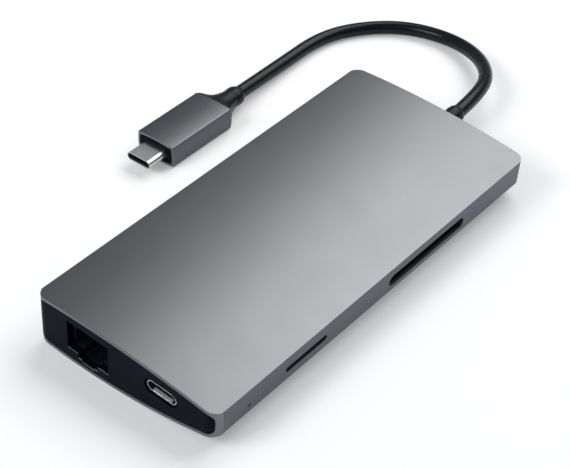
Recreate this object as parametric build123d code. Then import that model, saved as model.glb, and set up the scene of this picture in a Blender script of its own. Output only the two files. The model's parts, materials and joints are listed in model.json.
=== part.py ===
from build123d import *
from math import cos, pi, radians, sin, sqrt, tan
import os

# Pocket docking station: an extruded aluminium sleeve with a moulded cap in each end, a circuit board
# with its sockets inside, and a short fixed cord that ends in a reversible plug.
# Millimetres, +Z up, resting surface at Z = 0. The sleeve is extruded along Y. Its section and
# everything inside are laid out in the hub frame (Z = 0 along the two long top edges), then SEAT
# leans the hub onto its curved belly.

# ---------------------------------------------------------------- driving dimensions: sleeve and caps
HUB_LENGTH = 120.0
HUB_WIDTH = 56.0
TOP_CROWN = 1.45
BELLY_RADIUS = 150.0
BELLY_CENTRE_SETBACK = 46.5
BELLY_DEPTH = 14.6
LEAN = 4.0
WALL = 0.95
TOP_EDGE_RADIUS = 0.2
THICK_SIDE_RADIUS = 3.6
THIN_SIDE_RADIUS = 0.5
BORE_TOP_RADIUS = 2.2
BORE_TOP_THIN_RADIUS = 1.8
BORE_THICK_RADIUS = 3.4
BORE_THIN_RADIUS = 2.2
LEAST_RADIUS = 0.3
PLAN_CORNER_RADIUS = 3.1
CAP_FIT = 0.05
CAP_PLATE = 2.0
CAP_LIP = 4.0
CAP_LIP_WALL = 1.0

# ---------------------------------------------------------------- driving dimensions: board and tray
BOARD_TOP = -5.6
BOARD_THICKNESS = 1.0
BOARD_THICK_SIDE_GAP = 1.3
BOARD_THIN_SIDE_GAP = 2.9
BOARD_END_GAP = 0.6
NOTCH_GAP = 0.2
TRAY_WALL = 0.8
TRAY_GAP = 0.1
TRAY_THICK_SIDE_GAP = 2.9
TRAY_THIN_SIDE_GAP = 12.9
TRAY_FRONT_GAP = 23.0
TRAY_REAR_GAP = 8.0
POST_RADIUS = 1.7
SCREW_RADIUS = 0.7
SCREW_HEAD_RADIUS = 1.3
SCREW_HEAD_HEIGHT = 0.7
SCREW_DEPTH = 1.6
SCREW_SLOT_WIDTH = 0.3
SCREW_SLOT_DEPTH = 0.3
FRONT_SCREWS = [(-9.5, -35.0), (7.0, -30.5)]
MIDDLE_SCREWS = [(-9.5, 1.5), (12.5, -6.0)]
REAR_SCREWS_X = (-4.0, 11.5)
REAR_SCREWS_GAP = 8.9

# ---------------------------------------------------------------- driving dimensions: sockets
JACK_X = -11.17
JACK_WIDTH = 16.0
JACK_TOP = -0.5
JACK_BOTTOM = -12.6
JACK_LENGTH = 16.0
JACK_SHIELD = 0.25
JACK_MOUTH_WIDTH = 11.9
JACK_MOUTH_TOP = -2.1
JACK_MOUTH_BOTTOM = -9.9
JACK_MOUTH_DEPTH = 13.5
LATCH_WIDTH = 6.1
LATCH_BOTTOM = -11.5
LATCH_STEP_WIDTH = 3.4
LATCH_STEP_BOTTOM = -12.1
CAP_MOUTH_MARGIN = 0.55
WIRE_COUNT = 8
WIRE_PITCH = 1.02
WIRE_WIDTH = 0.4
WIRE_THICKNESS = 0.25
WIRE_LENGTH = 8.5
WIRE_SLOPE = 15.0
WIRE_GAP = 0.1
WIRE_ROOT_SETBACK = 1.6

INLET_X = 11.67
INLET_Z = -4.3
INLET_WIDTH = 8.94
INLET_HEIGHT = 3.26
INLET_LENGTH = 8.6
INLET_WALL = 0.3
INLET_RECESS = 0.4
INLET_MOUTH_MARGIN = 0.3
INLET_MOUTH_FLARE = 0.5
INLET_BLOCK = 2.6
TONGUE_LENGTH = 4.5
TONGUE_WIDTH = 6.2
TONGUE_HEIGHT = 0.7

SIDE_SOCKET_Z = -6.1
TYPE_A_PLACES = [-9.0, 12.0, 33.0]
TYPE_A_WIDTH = 13.1
TYPE_A_HEIGHT = 5.7
TYPE_A_LENGTH = 14.0
TYPE_A_TONGUE = (11.1, 1.8, 8.8)
TYPE_A_TONGUE_LIFT = 1.15
TYPE_A_BLOCK = 3.6
TYPE_A_STRIPS = 4
TYPE_A_STRIP_PITCH = 2.5
TYPE_A_STRIP = (1.0, 0.15)
VIDEO_PLACE = -31.0
VIDEO_WIDTH = 15.0
VIDEO_HEIGHT = 5.6
VIDEO_LENGTH = 11.0
VIDEO_CHAMFER = 1.6
VIDEO_TONGUE = (11.2, 1.0, 6.5)
VIDEO_TONGUE_LIFT = 0.4
VIDEO_BLOCK = 2.6
SOCKET_SHEET = 0.3
SOCKET_RECESS = 0.3
SOCKET_MARGIN = 0.15

CARD_Y = 17.5
CARD_SLOT_LENGTH = 30.6
CARD_SLOT_HEIGHT = 3.2
CARD_SLOT_Z = -3.9
CARD_BASE_WIDTH = 29.8
CARD_BASE_DEPTH = 27.0
CARD_WIDTH = 24.4
CARD_GAP = 2.3
CARD_FLOOR = 0.6
CARD_REAR_WALL = 2.0
CARD_STRIPS = 9
CARD_STRIP_PITCH = 2.5
CARD_STRIP = (6.0, 0.8, 0.2)
MICRO_Y = -28.95
MICRO_SLOT_LENGTH = 14.7
MICRO_SLOT_HEIGHT = 1.6
MICRO_SLOT_Z = -3.85
MICRO_BASE_WIDTH = 14.4
MICRO_BASE_DEPTH = 15.0
MICRO_CARD_WIDTH = 11.2
MICRO_GAP = 1.0
MICRO_FLOOR = 1.3
MICRO_REAR_WALL = 1.5
MICRO_STRIPS = 8
MICRO_STRIP_PITCH = 1.1
MICRO_STRIP = (3.5, 0.6, 0.15)
MICRO_STRIP_START = 3.4
COVER_SHEET = 0.2
LID_SETBACK = 0.6
CARD_WINDOW = (7.0, 10.0)
MICRO_WINDOW = (3.0, 5.0)
SOCKET_RELIEF = 1.3
LEVER_GAP = 0.1
LEVER_THICKNESS = 0.4
LEVER_LENGTH = 6.0
LEVER_REACH = 0.5
LEVER_INSET = 0.25
LEVER_POCKET_DEPTH = 2.0
LEVER_POCKET_END = 14.0
LEVER_PIVOT_GAP = 1.2
SLIDER_TRAVEL = 1.2
SLIDER_GAP = 0.12
SLIDER_WIDTH = 0.8
SLIDER_LENGTH = 6.0
SLIDER_HEEL = (0.8, 2.4)
SLIDER_CHANNEL_START = 2.5

LED_Y = -48.8
LED_Z = -4.9
LED_HOLE_RADIUS = 0.4
LIGHT_PIPE_GAP = 0.05
LIGHT_PIPE_RECESS = 0.3
LED_SIZE = (1.0, 1.6, 0.7)
LED_EDGE_GAP = 1.2

# ---------------------------------------------------------------- driving dimensions: on the board
# Each chip is x, y, width, depth and height.
HUB_CHIP = (4.0, -14.0, 9.0, 9.0, 1.0)
VIDEO_CHIP = (-5.5, -26.0, 8.0, 8.0, 1.0)
NETWORK_CHIP = (2.0, -38.5, 6.0, 6.0, 0.9)
POWER_CHIP = (17.0, -43.5, 5.0, 5.0, 0.9)
CARD_CHIP = (-6.5, 20.0, 5.0, 5.0, 0.9)
TRANSFORMER = (-0.8, -33.0, 9.0, 8.0, 3.8)
TRANSFORMER_LEG = (0.8, 0.5, 1.0)
TRANSFORMER_LEGS = 5
TRANSFORMER_LEG_PITCH = 1.5
INDUCTOR_SIZE = (4.0, 4.0, 3.0)
INDUCTOR_CHAMFER = 0.6
INDUCTOR_PLACES = [(7.5, -46.5), (17.0, -11.0), (-8.5, 29.0), (-8.5, 38.5)]
CAPACITOR_SIZE = (1.6, 0.9, 0.8)
CAPACITOR_PITCH = 2.2
CAPACITOR_ROWS = [(9.8, -19.5, 6), (-3.5, -4.5, 5), (-12.0, 7.0, 3), (15.5, 37.5, 5), (5.5, 37.5, 4)]
CRYSTAL_SIZE = (3.2, 2.5, 0.8)
CRYSTAL_PLACES = [(6.5, -24.5), (-6.5, 12.5), (11.0, -38.5)]
PAD_INSET = 0.5
SPREADER_BOTTOM = -2.0
SPREADER_SHEET = 0.4
SPREADER_MARGIN = 1.5
CLAMP_LENGTH = 7.0
CLAMP_WIDTH = 8.0
CLAMP_HEIGHT = 4.2
WIRE_TAILS = 6
WIRE_TAIL_PITCH = 0.9
WIRE_TAIL = (0.6, 4.5, 0.6)

# ---------------------------------------------------------------- driving dimensions: cord and plug
CORD_DIAMETER = 4.0
CORD_CORE_RADIUS = 1.5
BOOT_X = 0.25
BOOT_Z = -6.0
BOOT_LENGTH = 10.0
BOOT_FLARE_RADIUS = 4.0
BOOT_COLLAR_RADIUS = 2.6
BOOT_FLANGE_RADIUS = 4.6
BOOT_FLANGE = 1.2
BOOT_COLLAR_LENGTH = 2.6
BOOT_END_ROUND = 0.6
BOOT_ROOT_LENGTH = 1.2
BOOT_NECK_STEP = 0.15
PLUG_WIDTH = 13.0
PLUG_HEIGHT = 7.1
PLUG_LENGTH = 23.4
PLUG_CROWN = 0.4
PLUG_SIDE_CROWN = 0.25
PLUG_WALL = 0.7
PLUG_FIT = 0.05
PLUG_BOOT_LENGTH = 10.6
PLUG_BOOT_STEP = 0.3
PLUG_BOOT_TAIL = 2.4
PLUG_BOOT_FLARE = 6.4
PLUG_COLLAR_RADIUS = 3.0
PLUG_BEZEL_RECESS = 0.2
PLUG_BEZEL = 2.2
PLUG_SHELL_WIDTH = 8.25
PLUG_SHELL_HEIGHT = 2.4
PLUG_SHELL_REACH = 6.65
PLUG_SHELL_WALL = 0.2
PLUG_SHELL_ROOT = 5.6
LINER_WALL = 0.35
LINER_RECESS = 0.3
LATCH_SHEET = 0.3
PLUG_BOARD = (7.6, 0.8)
PLUG_BOARD_REAR_GAP = 4.0
CONTACT_COUNT = 12
CONTACT_SETBACK = 0.6
CONTACT_PITCH = 0.5
CONTACT_WIDTH = 0.25
CONTACT_SHEET = 0.06

# Route of the cord, from its boot to the plug: X and Y from the boot's end, and the clear height under
# the cord. The first point is at the boot's own height and the last at the plug's.
CORD_ROUTE = [
    (-0.5, 9.1, 5.6),
    (-4.1, 20.8, 4.5),
    (-13.9, 30.5, 2.3),
    (-27.1, 35.2, 0.4),
    (-40.8, 32.5, 0.05),
    (-50.9, 23.9, 0.05),
    (-57.4, 11.6, 0.05),
    (-56.9, -7.8, 0.3),
]
CORD_END = (-55.65, -27.15)

# ---------------------------------------------------------------- values that follow from them
HALF_LENGTH = HUB_LENGTH / 2
BOARD_BOTTOM = BOARD_TOP - BOARD_THICKNESS
CAP_INSET = WALL + CAP_FIT
BOARD_FRONT = -HALF_LENGTH + CAP_PLATE + CAP_LIP + BOARD_END_GAP
BOARD_REAR = -BOARD_FRONT
REAR_SCREWS = [(x, BOARD_REAR - REAR_SCREWS_GAP) for x in REAR_SCREWS_X]
SCREW_PLACES = FRONT_SCREWS + MIDDLE_SCREWS + REAR_SCREWS
TOP_RADIUS = (TOP_CROWN**2 + (HUB_WIDTH / 2) ** 2) / (2 * TOP_CROWN)
TOP_CENTRE_Z = TOP_CROWN - TOP_RADIUS
BELLY_CENTRE_Z = BELLY_RADIUS - BELLY_DEPTH
THIN_WALL_X = HUB_WIDTH / 2
THICK_WALL_X = -HUB_WIDTH / 2
BELLY_CENTRE_X = THIN_WALL_X - BELLY_CENTRE_SETBACK
CAP_FRONT = -HALF_LENGTH
JACK_FRONT = CAP_FRONT + CAP_PLATE + CAP_FIT
CARD_FRONT = THIN_WALL_X - WALL - TRAY_GAP
SOCKET_FRONT = THICK_WALL_X + SOCKET_RECESS
BOARD_LEFT = THICK_WALL_X + WALL + BOARD_THICK_SIDE_GAP
BOARD_RIGHT = THIN_WALL_X - WALL - BOARD_THIN_SIDE_GAP
TRAY_LEFT = THICK_WALL_X + WALL + TRAY_THICK_SIDE_GAP
TRAY_RIGHT = THIN_WALL_X - WALL - TRAY_THIN_SIDE_GAP
TRAY_FRONT = -HALF_LENGTH + TRAY_FRONT_GAP
TRAY_REAR = HALF_LENGTH - TRAY_REAR_GAP
CLAMP_FRONT = BOARD_REAR - CLAMP_LENGTH
INLET_FRONT = CAP_FRONT + INLET_RECESS
INLET_REAR = INLET_FRONT + INLET_LENGTH
INLET_TONGUE_TIP = INLET_REAR - INLET_BLOCK - TONGUE_LENGTH
CARD_REAR = CARD_FRONT - CARD_BASE_DEPTH
CARD_PATH_BOTTOM = BOARD_TOP + CARD_FLOOR
CARD_PATH_TOP = CARD_PATH_BOTTOM + CARD_GAP
MICRO_REAR = CARD_FRONT - MICRO_BASE_DEPTH
MICRO_PATH_BOTTOM = BOARD_TOP + MICRO_FLOOR
MICRO_PATH_TOP = MICRO_PATH_BOTTOM + MICRO_GAP
LED_X = BOARD_RIGHT - LED_EDGE_GAP
PAST = 1.0
FAR = 40.0


# ---------------------------------------------------------------- the hub's section
def top_height(x, inset=0.0):
    return TOP_CENTRE_Z + sqrt((TOP_RADIUS - inset) ** 2 - x**2)


def belly_height(x, inset=0.0):
    return BELLY_CENTRE_Z - sqrt((BELLY_RADIUS - inset) ** 2 - (x - BELLY_CENTRE_X) ** 2)


def section(y, inset=0.0):
    """Closed section of the hub at Y, drawn `inset` inside its outer surface."""
    half = HUB_WIDTH / 2 - inset
    top_left = (-half, y, top_height(half, inset))
    top_right = (half, y, top_height(half, inset))
    low_right = (half, y, belly_height(half, inset))
    low_left = (-half, y, belly_height(-half, inset))
    outline = [
        ThreePointArc(top_left, (0, y, TOP_CROWN - inset), top_right),
        Line(top_right, low_right),
        ThreePointArc(low_right, (BELLY_CENTRE_X, y, inset - BELLY_DEPTH), low_left),
        Line(low_left, top_left),
    ]
    face = make_face(outline).face()
    if inset < WALL:
        radii = (TOP_EDGE_RADIUS, TOP_EDGE_RADIUS, THIN_SIDE_RADIUS, THICK_SIDE_RADIUS)
    else:
        radii = (BORE_TOP_RADIUS, BORE_TOP_THIN_RADIUS, BORE_THIN_RADIUS, BORE_THICK_RADIUS)
        radii = [max(radius - (inset - WALL), LEAST_RADIUS) for radius in radii]
    for corner, radius in zip((top_left, top_right, low_right, low_left), radii):
        vertex = min(face.vertices(), key=lambda v: (Vector(v) - Vector(corner)).length)
        face = face.fillet_2d(radius, [vertex])
    return face


def section_bar(start, end, inset=0.0):
    return extrude(section(start, inset), amount=end - start, dir=(0, 1, 0))


def plan_block():
    """Tall block with the hub's plan outline and its rounded corners."""
    outline = RectangleRounded(HUB_WIDTH, HUB_LENGTH, PLAN_CORNER_RADIUS)
    return Pos(0, 0, -FAR) * extrude(outline, amount=2 * FAR)


def block(x0, x1, y0, y1, z0, z1):
    return Pos((x0 + x1) / 2, (y0 + y1) / 2, (z0 + z1) / 2) * Box(x1 - x0, y1 - y0, z1 - z0)


def along_y(width, height, x, y0, y1, z, margin=0.0):
    """Stadium bar along Y: the outline of the reversible plug and its inlet."""
    outline = SlotOverall(width + 2 * margin, height + 2 * margin)
    return Pos(x, y0, z) * Rot(-90, 0, 0) * extrude(outline, amount=y1 - y0)


def along_x(outline, y, x0, x1, z):
    """Bar along X whose outline is drawn with its length along Y and its height along Z."""
    return extrude(Plane(origin=(x0, y, z), x_dir=(0, 1, 0), z_dir=(1, 0, 0)) * outline, amount=x1 - x0)


# ---------------------------------------------------------------- seat: lean the hub on its belly
def seat_shift():
    """Shift along X that centres the leaning hub, and lift that rests its belly on the surface."""
    s = sin(radians(LEAN))
    c = cos(radians(LEAN))
    left_x = THICK_WALL_X + THICK_SIDE_RADIUS
    left_z = BELLY_CENTRE_Z - sqrt(
        (BELLY_RADIUS - THICK_SIDE_RADIUS) ** 2 - (left_x - BELLY_CENTRE_X) ** 2
    )
    right_x = THIN_WALL_X - TOP_EDGE_RADIUS
    right_z = top_height(right_x, TOP_EDGE_RADIUS)
    low = left_x * c + left_z * s - THICK_SIDE_RADIUS
    high = right_x * c + right_z * s + TOP_EDGE_RADIUS
    lift = BELLY_RADIUS - (BELLY_CENTRE_Z * c - BELLY_CENTRE_X * s)
    return -(low + high) / 2, lift


SHIFT_X, LIFT = seat_shift()
SEAT = Pos(SHIFT_X, 0, LIFT) * Rot(0, LEAN, 0)


def seated_point(x, y, z):
    s = sin(radians(LEAN))
    c = cos(radians(LEAN))
    return (x * c + z * s + SHIFT_X, y, z * c - x * s + LIFT)


# ---------------------------------------------------------------- outlines shared by caps and sockets
def jack_mouth(y0, y1, margin=0.0):
    """Keyed mouth of the network jack: plug room, latch groove and its narrower step."""
    room = block(
        JACK_X - JACK_MOUTH_WIDTH / 2 - margin,
        JACK_X + JACK_MOUTH_WIDTH / 2 + margin,
        y0,
        y1,
        JACK_MOUTH_BOTTOM - margin,
        JACK_MOUTH_TOP + margin / 2,
    )
    for width, bottom in ((LATCH_WIDTH, LATCH_BOTTOM), (LATCH_STEP_WIDTH, LATCH_STEP_BOTTOM)):
        half = width / 2 + margin / 4
        room += block(JACK_X - half, JACK_X + half, y0, y1, bottom - margin / 2, JACK_MOUTH_BOTTOM)
    return room


def jack_envelope(gap):
    half = JACK_WIDTH / 2 + gap
    rear = JACK_FRONT + JACK_LENGTH + gap
    return block(JACK_X - half, JACK_X + half, JACK_FRONT - gap, rear, JACK_BOTTOM - gap, JACK_TOP + gap)


def inlet_bar(y0, y1, margin=0.0):
    return along_y(INLET_WIDTH, INLET_HEIGHT, INLET_X, y0, y1, INLET_Z, margin)


def side_socket_block(place, width, height, length, margin=0.0):
    """Outer block of a socket in the thick side, whose mouth faces -X."""
    return block(
        SOCKET_FRONT,
        SOCKET_FRONT + length + margin,
        place - width / 2 - margin,
        place + width / 2 + margin,
        SIDE_SOCKET_Z - height / 2 - margin,
        SIDE_SOCKET_Z + height / 2 + margin,
    )


def side_sockets(margin):
    blocks = [side_socket_block(y, TYPE_A_WIDTH, TYPE_A_HEIGHT, TYPE_A_LENGTH, margin) for y in TYPE_A_PLACES]
    blocks.append(side_socket_block(VIDEO_PLACE, VIDEO_WIDTH, VIDEO_HEIGHT, VIDEO_LENGTH, margin))
    return blocks


# ---------------------------------------------------------------- housing
def make_sleeve():
    sleeve = section_bar(-HALF_LENGTH, HALF_LENGTH) & plan_block()
    sleeve -= section_bar(-HALF_LENGTH - PAST, HALF_LENGTH + PAST, WALL)
    reach = 2 * WALL
    windows = [(TYPE_A_WIDTH, TYPE_A_HEIGHT, place) for place in TYPE_A_PLACES]
    windows.append((VIDEO_WIDTH, VIDEO_HEIGHT, VIDEO_PLACE))
    for width, height, place in windows:
        outline = RectangleRounded(width + 2 * SOCKET_MARGIN, height + 2 * SOCKET_MARGIN, SOCKET_MARGIN)
        sleeve -= along_x(outline, place, THICK_WALL_X - reach, THICK_WALL_X + reach, SIDE_SOCKET_Z)
    slots = [
        (CARD_SLOT_LENGTH, CARD_SLOT_HEIGHT, CARD_Y, CARD_SLOT_Z),
        (MICRO_SLOT_LENGTH, MICRO_SLOT_HEIGHT, MICRO_Y, MICRO_SLOT_Z),
    ]
    for length, height, y, z in slots:
        outline = SlotOverall(length, height)
        sleeve -= along_x(outline, y, THIN_WALL_X - reach, THIN_WALL_X + reach, z)
    return sleeve - along_x(Circle(LED_HOLE_RADIUS), LED_Y, THIN_WALL_X - reach, THIN_WALL_X + reach, LED_Z)


def make_cap():
    """Moulded end cap: a plate flush with the sleeve's end and a lip that slides inside it."""
    plate_back = CAP_FRONT + CAP_PLATE
    lip_end = plate_back + CAP_LIP
    cap = section_bar(CAP_FRONT, lip_end, CAP_INSET) & plan_block()
    return cap - section_bar(plate_back, lip_end + PAST, CAP_INSET + CAP_LIP_WALL)


def make_front_cap():
    cap = make_cap() - jack_envelope(CAP_FIT)
    cap -= jack_mouth(CAP_FRONT - PAST, JACK_FRONT, CAP_MOUTH_MARGIN)
    cap -= inlet_bar(CAP_FRONT - PAST, JACK_FRONT, INLET_MOUTH_MARGIN)
    return cap - inlet_bar(CAP_FRONT - PAST, INLET_FRONT, INLET_MOUTH_FLARE)


def make_rear_cap():
    hole = Pos(BOOT_X, HALF_LENGTH, BOOT_Z) * Rot(90, 0, 0) * Cylinder(BOOT_FLARE_RADIUS, 3 * CAP_PLATE)
    return mirror(make_cap(), about=Plane.XZ) - hole


def make_tray():
    """Carrier under the board: a curved floor that follows the belly, and a post for each screw."""
    inset = WALL + TRAY_GAP
    room = section_bar(TRAY_FRONT, TRAY_REAR, inset)
    tray = room - section_bar(TRAY_FRONT - PAST, TRAY_REAR + PAST, inset + TRAY_WALL)
    tray &= block(TRAY_LEFT, TRAY_RIGHT, TRAY_FRONT, TRAY_REAR, -FAR, BOARD_BOTTOM - POST_RADIUS)
    for x, y in SCREW_PLACES:
        post = Pos(x, y, BOARD_BOTTOM - FAR / 2) * Cylinder(POST_RADIUS, FAR)
        tray += post & room
    for x, y in SCREW_PLACES:
        tray -= Pos(x, y, BOARD_BOTTOM) * Cylinder(SCREW_RADIUS, 2 * SCREW_DEPTH)
    return tray


def make_screws():
    """Screws through the board into the posts, each with a cross slot in its head."""
    screws = []
    length = BOARD_THICKNESS + SCREW_DEPTH
    across = 2 * SCREW_RADIUS
    for x, y in SCREW_PLACES:
        screw = Pos(x, y, BOARD_TOP - length / 2) * Cylinder(SCREW_RADIUS, length)
        screw += Pos(x, y, BOARD_TOP + SCREW_HEAD_HEIGHT / 2) * Cylinder(SCREW_HEAD_RADIUS, SCREW_HEAD_HEIGHT)
        for size in ((across, SCREW_SLOT_WIDTH), (SCREW_SLOT_WIDTH, across)):
            screw -= Pos(x, y, BOARD_TOP + SCREW_HEAD_HEIGHT) * Box(*size, 2 * SCREW_SLOT_DEPTH)
        screws.append(screw)
    return screws


# ---------------------------------------------------------------- board and what is soldered to it
def board_notch(half_width, x, y0, y1):
    return block(x - half_width, x + half_width, y0, y1, BOARD_BOTTOM - PAST, BOARD_TOP + PAST)


def make_board():
    board = block(BOARD_LEFT, BOARD_RIGHT, BOARD_FRONT, BOARD_REAR, BOARD_BOTTOM, BOARD_TOP)
    board -= jack_envelope(NOTCH_GAP)
    board -= board_notch(INLET_WIDTH / 2 + NOTCH_GAP, INLET_X, BOARD_FRONT - PAST, INLET_REAR + NOTCH_GAP)
    board -= board_notch(CLAMP_WIDTH / 2 + NOTCH_GAP, BOOT_X, CLAMP_FRONT - NOTCH_GAP, BOARD_REAR + PAST)
    for socket in side_sockets(NOTCH_GAP):
        board -= socket
    for x, y in SCREW_PLACES:
        board -= Pos(x, y, BOARD_TOP) * Cylinder(SCREW_RADIUS, 4 * BOARD_THICKNESS)
    return board


def on_board(x, y, width, depth, height):
    """Block that stands on the board's upper face."""
    return block(x - width / 2, x + width / 2, y - depth / 2, y + depth / 2, BOARD_TOP, BOARD_TOP + height)


def make_transformer():
    """Can under the board with a row of legs down each side."""
    x, y, width, depth, height = TRANSFORMER
    leg_width, leg_depth, leg_height = TRANSFORMER_LEG
    shapes = [Pos(x, y, BOARD_BOTTOM - height / 2) * Box(width, depth, height)]
    for side in (-1, 1):
        leg_x = x + side * (width + leg_width) / 2
        for step in range(TRANSFORMER_LEGS):
            leg_y = y + (step - (TRANSFORMER_LEGS - 1) / 2) * TRANSFORMER_LEG_PITCH
            leg = Box(leg_width, leg_depth, leg_height)
            shapes.append(Pos(leg_x, leg_y, BOARD_BOTTOM - leg_height / 2) * leg)
    return shapes


def make_inductors():
    cans = [on_board(x, y, *INDUCTOR_SIZE) for x, y in INDUCTOR_PLACES]
    return [chamfer(can.edges().filter_by(Axis.Z), INDUCTOR_CHAMFER) for can in cans]


def make_capacitors():
    return [
        on_board(x, y + step * CAPACITOR_PITCH, *CAPACITOR_SIZE)
        for x, y, count in CAPACITOR_ROWS
        for step in range(count)
    ]


def make_crystals():
    return [on_board(x, y, *CRYSTAL_SIZE) for x, y in CRYSTAL_PLACES]


def make_thermal_pads():
    """Soft pads between the two hottest chips and the heat spreader."""
    pads = []
    for x, y, width, depth, height in (HUB_CHIP, VIDEO_CHIP):
        pad_height = SPREADER_BOTTOM - BOARD_TOP - height
        pad = on_board(x, y, width - 2 * PAD_INSET, depth - 2 * PAD_INSET, pad_height)
        pads.append(Pos(0, 0, height) * pad)
    return pads


def make_spreader():
    """Thin plate that covers both pads with a margin all round."""
    chips = (HUB_CHIP, VIDEO_CHIP)
    x0 = min(x - width / 2 for x, _, width, _, _ in chips) - SPREADER_MARGIN
    x1 = max(x + width / 2 for x, _, width, _, _ in chips) + SPREADER_MARGIN
    y0 = min(y - depth / 2 for _, y, _, depth, _ in chips) - SPREADER_MARGIN
    y1 = max(y + depth / 2 for _, y, _, depth, _ in chips) + SPREADER_MARGIN
    plate = block(x0, x1, y0, y1, SPREADER_BOTTOM, SPREADER_BOTTOM + SPREADER_SHEET)
    return fillet(plate.edges().filter_by(Axis.Z), SPREADER_MARGIN)


# ---------------------------------------------------------------- network jack
def jack_room(y0, y1, z0):
    """Space inside the jack's shield."""
    half = JACK_WIDTH / 2 - JACK_SHIELD
    return block(JACK_X - half, JACK_X + half, y0, y1, z0, JACK_TOP - JACK_SHIELD)


def make_jack_shield():
    rear = JACK_FRONT + JACK_LENGTH - JACK_SHIELD
    return jack_envelope(0) - jack_room(JACK_FRONT - PAST, rear, JACK_BOTTOM - PAST)


def make_jack_body():
    body = jack_room(JACK_FRONT, JACK_FRONT + JACK_LENGTH - JACK_SHIELD, JACK_BOTTOM)
    return body - jack_mouth(JACK_FRONT - PAST, JACK_FRONT + JACK_MOUTH_DEPTH)


def wire_root():
    """Point on the line that the jack's wires turn about, under the roof near the mouth."""
    return (JACK_X, JACK_FRONT + WIRE_ROOT_SETBACK, JACK_MOUTH_TOP - WIRE_GAP - WIRE_THICKNESS)


def make_jack_wires():
    """Sprung wires that slope down and back from their root, side by side."""
    _, root_y, root_z = wire_root()
    wire = Pos(0, WIRE_LENGTH / 2, 0) * Box(WIRE_WIDTH, WIRE_LENGTH, WIRE_THICKNESS)
    wire += Rot(0, 90, 0) * Cylinder(WIRE_THICKNESS, WIRE_WIDTH)
    wires = []
    for step in range(WIRE_COUNT):
        x = JACK_X + (step - (WIRE_COUNT - 1) / 2) * WIRE_PITCH
        wires.append(Pos(x, root_y, root_z) * Rot(-WIRE_SLOPE, 0, 0) * wire)
    return wires


# ---------------------------------------------------------------- power inlet
def make_inlet_shell():
    return inlet_bar(INLET_FRONT, INLET_REAR) - inlet_bar(INLET_FRONT - PAST, INLET_REAR + PAST, -INLET_WALL)


def make_inlet_tongue():
    root_front = INLET_REAR - INLET_BLOCK
    root = inlet_bar(root_front, INLET_REAR, -INLET_WALL - CAP_FIT)
    tongue = Box(TONGUE_WIDTH, TONGUE_LENGTH, TONGUE_HEIGHT)
    return root + Pos(INLET_X, root_front - TONGUE_LENGTH / 2, INLET_Z) * tongue


def contact_row(x, z, y0, y1, up):
    """Row of flat contacts on a face at height z, lying above it or below it."""
    middle_z = z + (CONTACT_SHEET if up else -CONTACT_SHEET) / 2
    strips = []
    for step in range(CONTACT_COUNT):
        middle_x = x + (step - (CONTACT_COUNT - 1) / 2) * CONTACT_PITCH
        strips.append(Pos(middle_x, (y0 + y1) / 2, middle_z) * Box(CONTACT_WIDTH, y1 - y0, CONTACT_SHEET))
    return strips


def make_inlet_contacts():
    ends = (INLET_TONGUE_TIP + CONTACT_SETBACK, INLET_REAR - INLET_BLOCK)
    above = contact_row(INLET_X, INLET_Z + TONGUE_HEIGHT / 2, *ends, True)
    return above + contact_row(INLET_X, INLET_Z - TONGUE_HEIGHT / 2, *ends, False)


# ---------------------------------------------------------------- sockets in the thick side
def socket_rear(length):
    """Inner face of the rear wall of a socket's shell."""
    return SOCKET_FRONT + length - SOCKET_SHEET


def make_type_a_shell(place):
    """Sheet-metal shell, open towards -X and closed behind."""
    shell = side_socket_block(place, TYPE_A_WIDTH, TYPE_A_HEIGHT, TYPE_A_LENGTH)
    inside = side_socket_block(place, TYPE_A_WIDTH, TYPE_A_HEIGHT, TYPE_A_LENGTH, -SOCKET_SHEET)
    return shell - inside - Pos(-PAST, 0, 0) * inside


def rear_block(place, outline, rear, tongue, lift, root):
    """Moulded insert: a root that fills the rear of the shell, and the tongue standing out of it."""
    width, height, reach = tongue
    insert = Pos(rear - root - reach / 2, place, SIDE_SOCKET_Z + lift) * Box(reach, width, height)
    return insert + extrude(outline, amount=root)


def make_type_a_insert(place):
    rear = socket_rear(TYPE_A_LENGTH)
    gap = SOCKET_SHEET + CAP_FIT
    plane = Plane(origin=(rear - TYPE_A_BLOCK, place, SIDE_SOCKET_Z), x_dir=(0, 1, 0), z_dir=(1, 0, 0))
    outline = plane * Rectangle(TYPE_A_WIDTH - 2 * gap, TYPE_A_HEIGHT - 2 * gap)
    return rear_block(place, outline, rear, TYPE_A_TONGUE, TYPE_A_TONGUE_LIFT, TYPE_A_BLOCK)


def make_type_a_contacts():
    """Wide strips under each tongue."""
    width, sheet = TYPE_A_STRIP
    under = SIDE_SOCKET_Z + TYPE_A_TONGUE_LIFT - TYPE_A_TONGUE[1] / 2
    x1 = socket_rear(TYPE_A_LENGTH) - TYPE_A_BLOCK
    x0 = x1 - TYPE_A_TONGUE[2] + CONTACT_SETBACK
    strips = []
    for place in TYPE_A_PLACES:
        for step in range(TYPE_A_STRIPS):
            y = place + (step - (TYPE_A_STRIPS - 1) / 2) * TYPE_A_STRIP_PITCH
            strips.append(block(x0, x1, y - width / 2, y + width / 2, under - sheet, under))
    return strips


def video_outline(x, inset):
    """Outline of the video socket at X, with its two lower corners cut away as its plug's are."""
    y0 = VIDEO_PLACE - VIDEO_WIDTH / 2 + inset
    y1 = VIDEO_PLACE + VIDEO_WIDTH / 2 - inset
    z0 = SIDE_SOCKET_Z - VIDEO_HEIGHT / 2 + inset
    z1 = SIDE_SOCKET_Z + VIDEO_HEIGHT / 2 - inset
    cut = VIDEO_CHAMFER
    corners = [(y0, z1), (y1, z1), (y1, z0 + cut), (y1 - cut, z0), (y0 + cut, z0), (y0, z0 + cut)]
    return make_face(Polyline(*[(x, y, z) for y, z in corners], close=True))


def video_bar(x0, x1, inset):
    return extrude(video_outline(x0, inset), amount=x1 - x0, dir=(1, 0, 0))


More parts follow.
